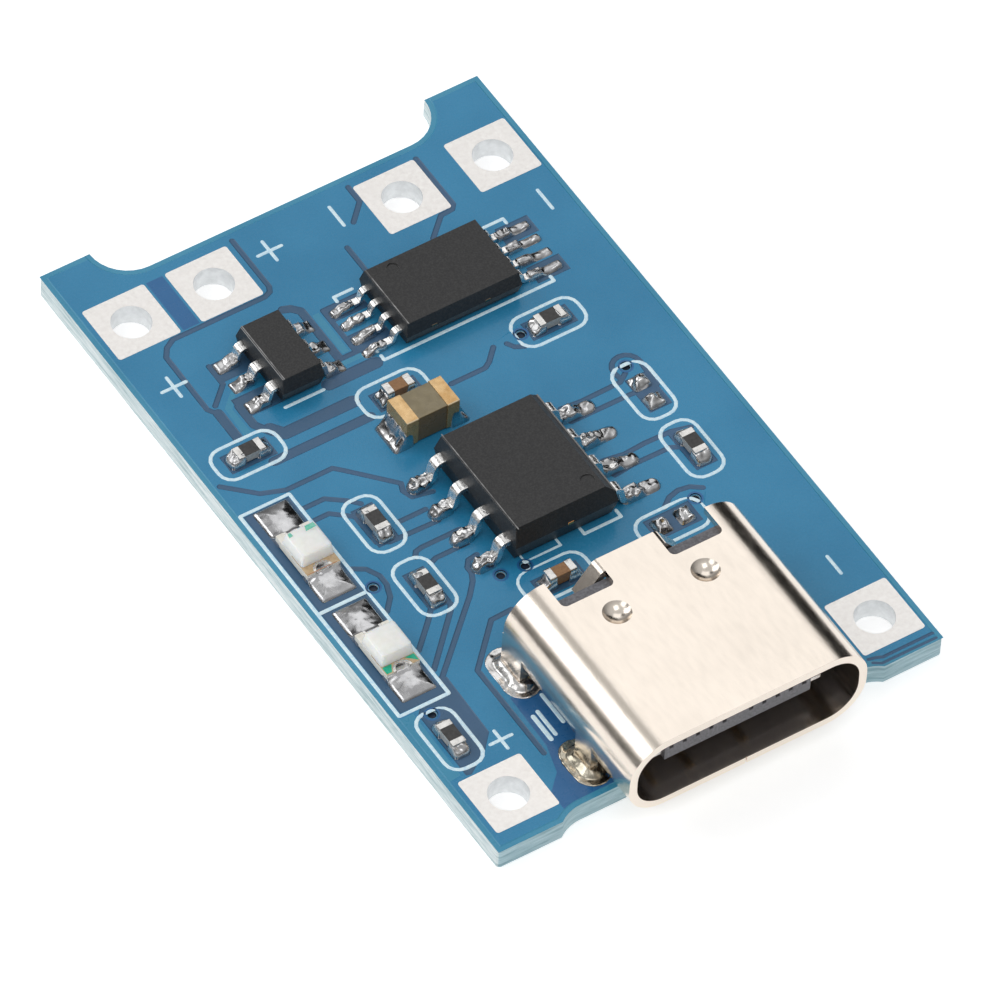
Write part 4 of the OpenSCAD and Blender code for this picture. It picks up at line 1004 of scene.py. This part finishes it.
def floor():
    """A pale paper floor under the module, in metres."""
    corners = box_polygon(-FLOOR_HALF, FLOOR_HALF, -FLOOR_HALF, FLOOR_HALF)
    mesh = bpy.data.meshes.new("floor")
    mesh.from_pydata([(x, y, 0) for x, y in corners], [], [(0, 1, 2, 3)])
    made = Finish("floor_paper", (0.93, 0.93, 0.93), 0.9)
    made.shader.inputs["Emission Color"].default_value = (1, 1, 1, 1)
    made.shader.inputs["Emission Strength"].default_value = 0.45
    mesh.materials.append(made.material)
    ground = bpy.data.objects.new("floor", mesh)
    bpy.context.scene.collection.objects.link(ground)


def direction(azimuth, elevation):
    """Unit vector toward that side. Azimuth 0 is +Y, and 90 is +X."""
    a, e = math.radians(azimuth), math.radians(elevation)
    return Vector((math.sin(a) * math.cos(e), math.cos(a) * math.cos(e), math.sin(e)))


def soft_box(name, azimuth, elevation, distance, width, height, radiance):
    """A rectangular soft light that looks at the board from that side."""
    data = bpy.data.lights.new(name, "AREA")
    data.shape = "RECTANGLE"
    data.size, data.size_y = width, height
    data.energy = radiance * math.pi * width * height
    lamp = bpy.data.objects.new(name, data)
    bpy.context.scene.collection.objects.link(lamp)
    away = direction(azimuth, elevation)
    lamp.location = away * distance
    lamp.rotation_euler = away.to_track_quat("Z", "Y").to_euler()


def sky():
    """A white tent that darkens towards the horizon, with darker openings."""
    world = bpy.data.worlds.new("studio")
    world.use_nodes = True
    tree = world.node_tree
    way = tree.nodes.new("ShaderNodeTexCoord").outputs["Generated"]
    split = tree.nodes.new("ShaderNodeSeparateXYZ")
    ramp = tree.nodes.new("ShaderNodeValToRGB")
    tree.links.new(way, split.inputs["Vector"])
    tree.links.new(split.outputs["Z"], ramp.inputs["Fac"])
    ends = ramp.color_ramp.elements
    ends[0].position, ends[0].color = 0.0, (*[SKY_HORIZON] * 3, 1)
    ends[1].position, ends[1].color = 0.75, (*[SKY_TOP] * 3, 1)
    ends.new(0.35).color = (*[SKY_MIDDLE] * 3, 1)
    color = ramp.outputs["Color"]
    for azimuth, elevation, core, edge, value in SKY_OPENINGS:
        dot = tree.nodes.new("ShaderNodeVectorMath")
        dot.operation = "DOT_PRODUCT"
        dot.inputs[1].default_value = direction(azimuth, elevation)
        tree.links.new(way, dot.inputs[0])
        reach = tree.nodes.new("ShaderNodeMapRange")
        reach.interpolation_type = "SMOOTHSTEP"
        reach.inputs["From Min"].default_value = math.cos(math.radians(edge))
        reach.inputs["From Max"].default_value = math.cos(math.radians(core))
        tree.links.new(dot.outputs["Value"], reach.inputs["Value"])
        mixed = tree.nodes.new("ShaderNodeMix")
        mixed.data_type = "RGBA"
        tree.links.new(reach.outputs["Result"], mixed.inputs[0])
        tree.links.new(color, mixed.inputs[6])
        mixed.inputs[7].default_value = (value, value, value, 1)
        color = mixed.outputs[2]
    tree.links.new(color, tree.nodes["Background"].inputs["Color"])
    bpy.context.scene.world = world


camera()
floor()
sky()
soft_box("back_light", azimuth=36, elevation=54, distance=0.7, width=0.46, height=0.4, radiance=0.62)
soft_box("left_light", azimuth=-44, elevation=36, distance=0.6, width=0.28, height=0.34, radiance=2.2)
soft_box("top_light", azimuth=190, elevation=72, distance=0.7, width=0.3, height=0.3, radiance=1.6)
soft_box("side_light", azimuth=-100, elevation=40, distance=0.6, width=0.3, height=0.3, radiance=1.2)
bpy.context.scene.view_settings.view_transform = "Standard"
bpy.context.scene.view_settings.look = "None"
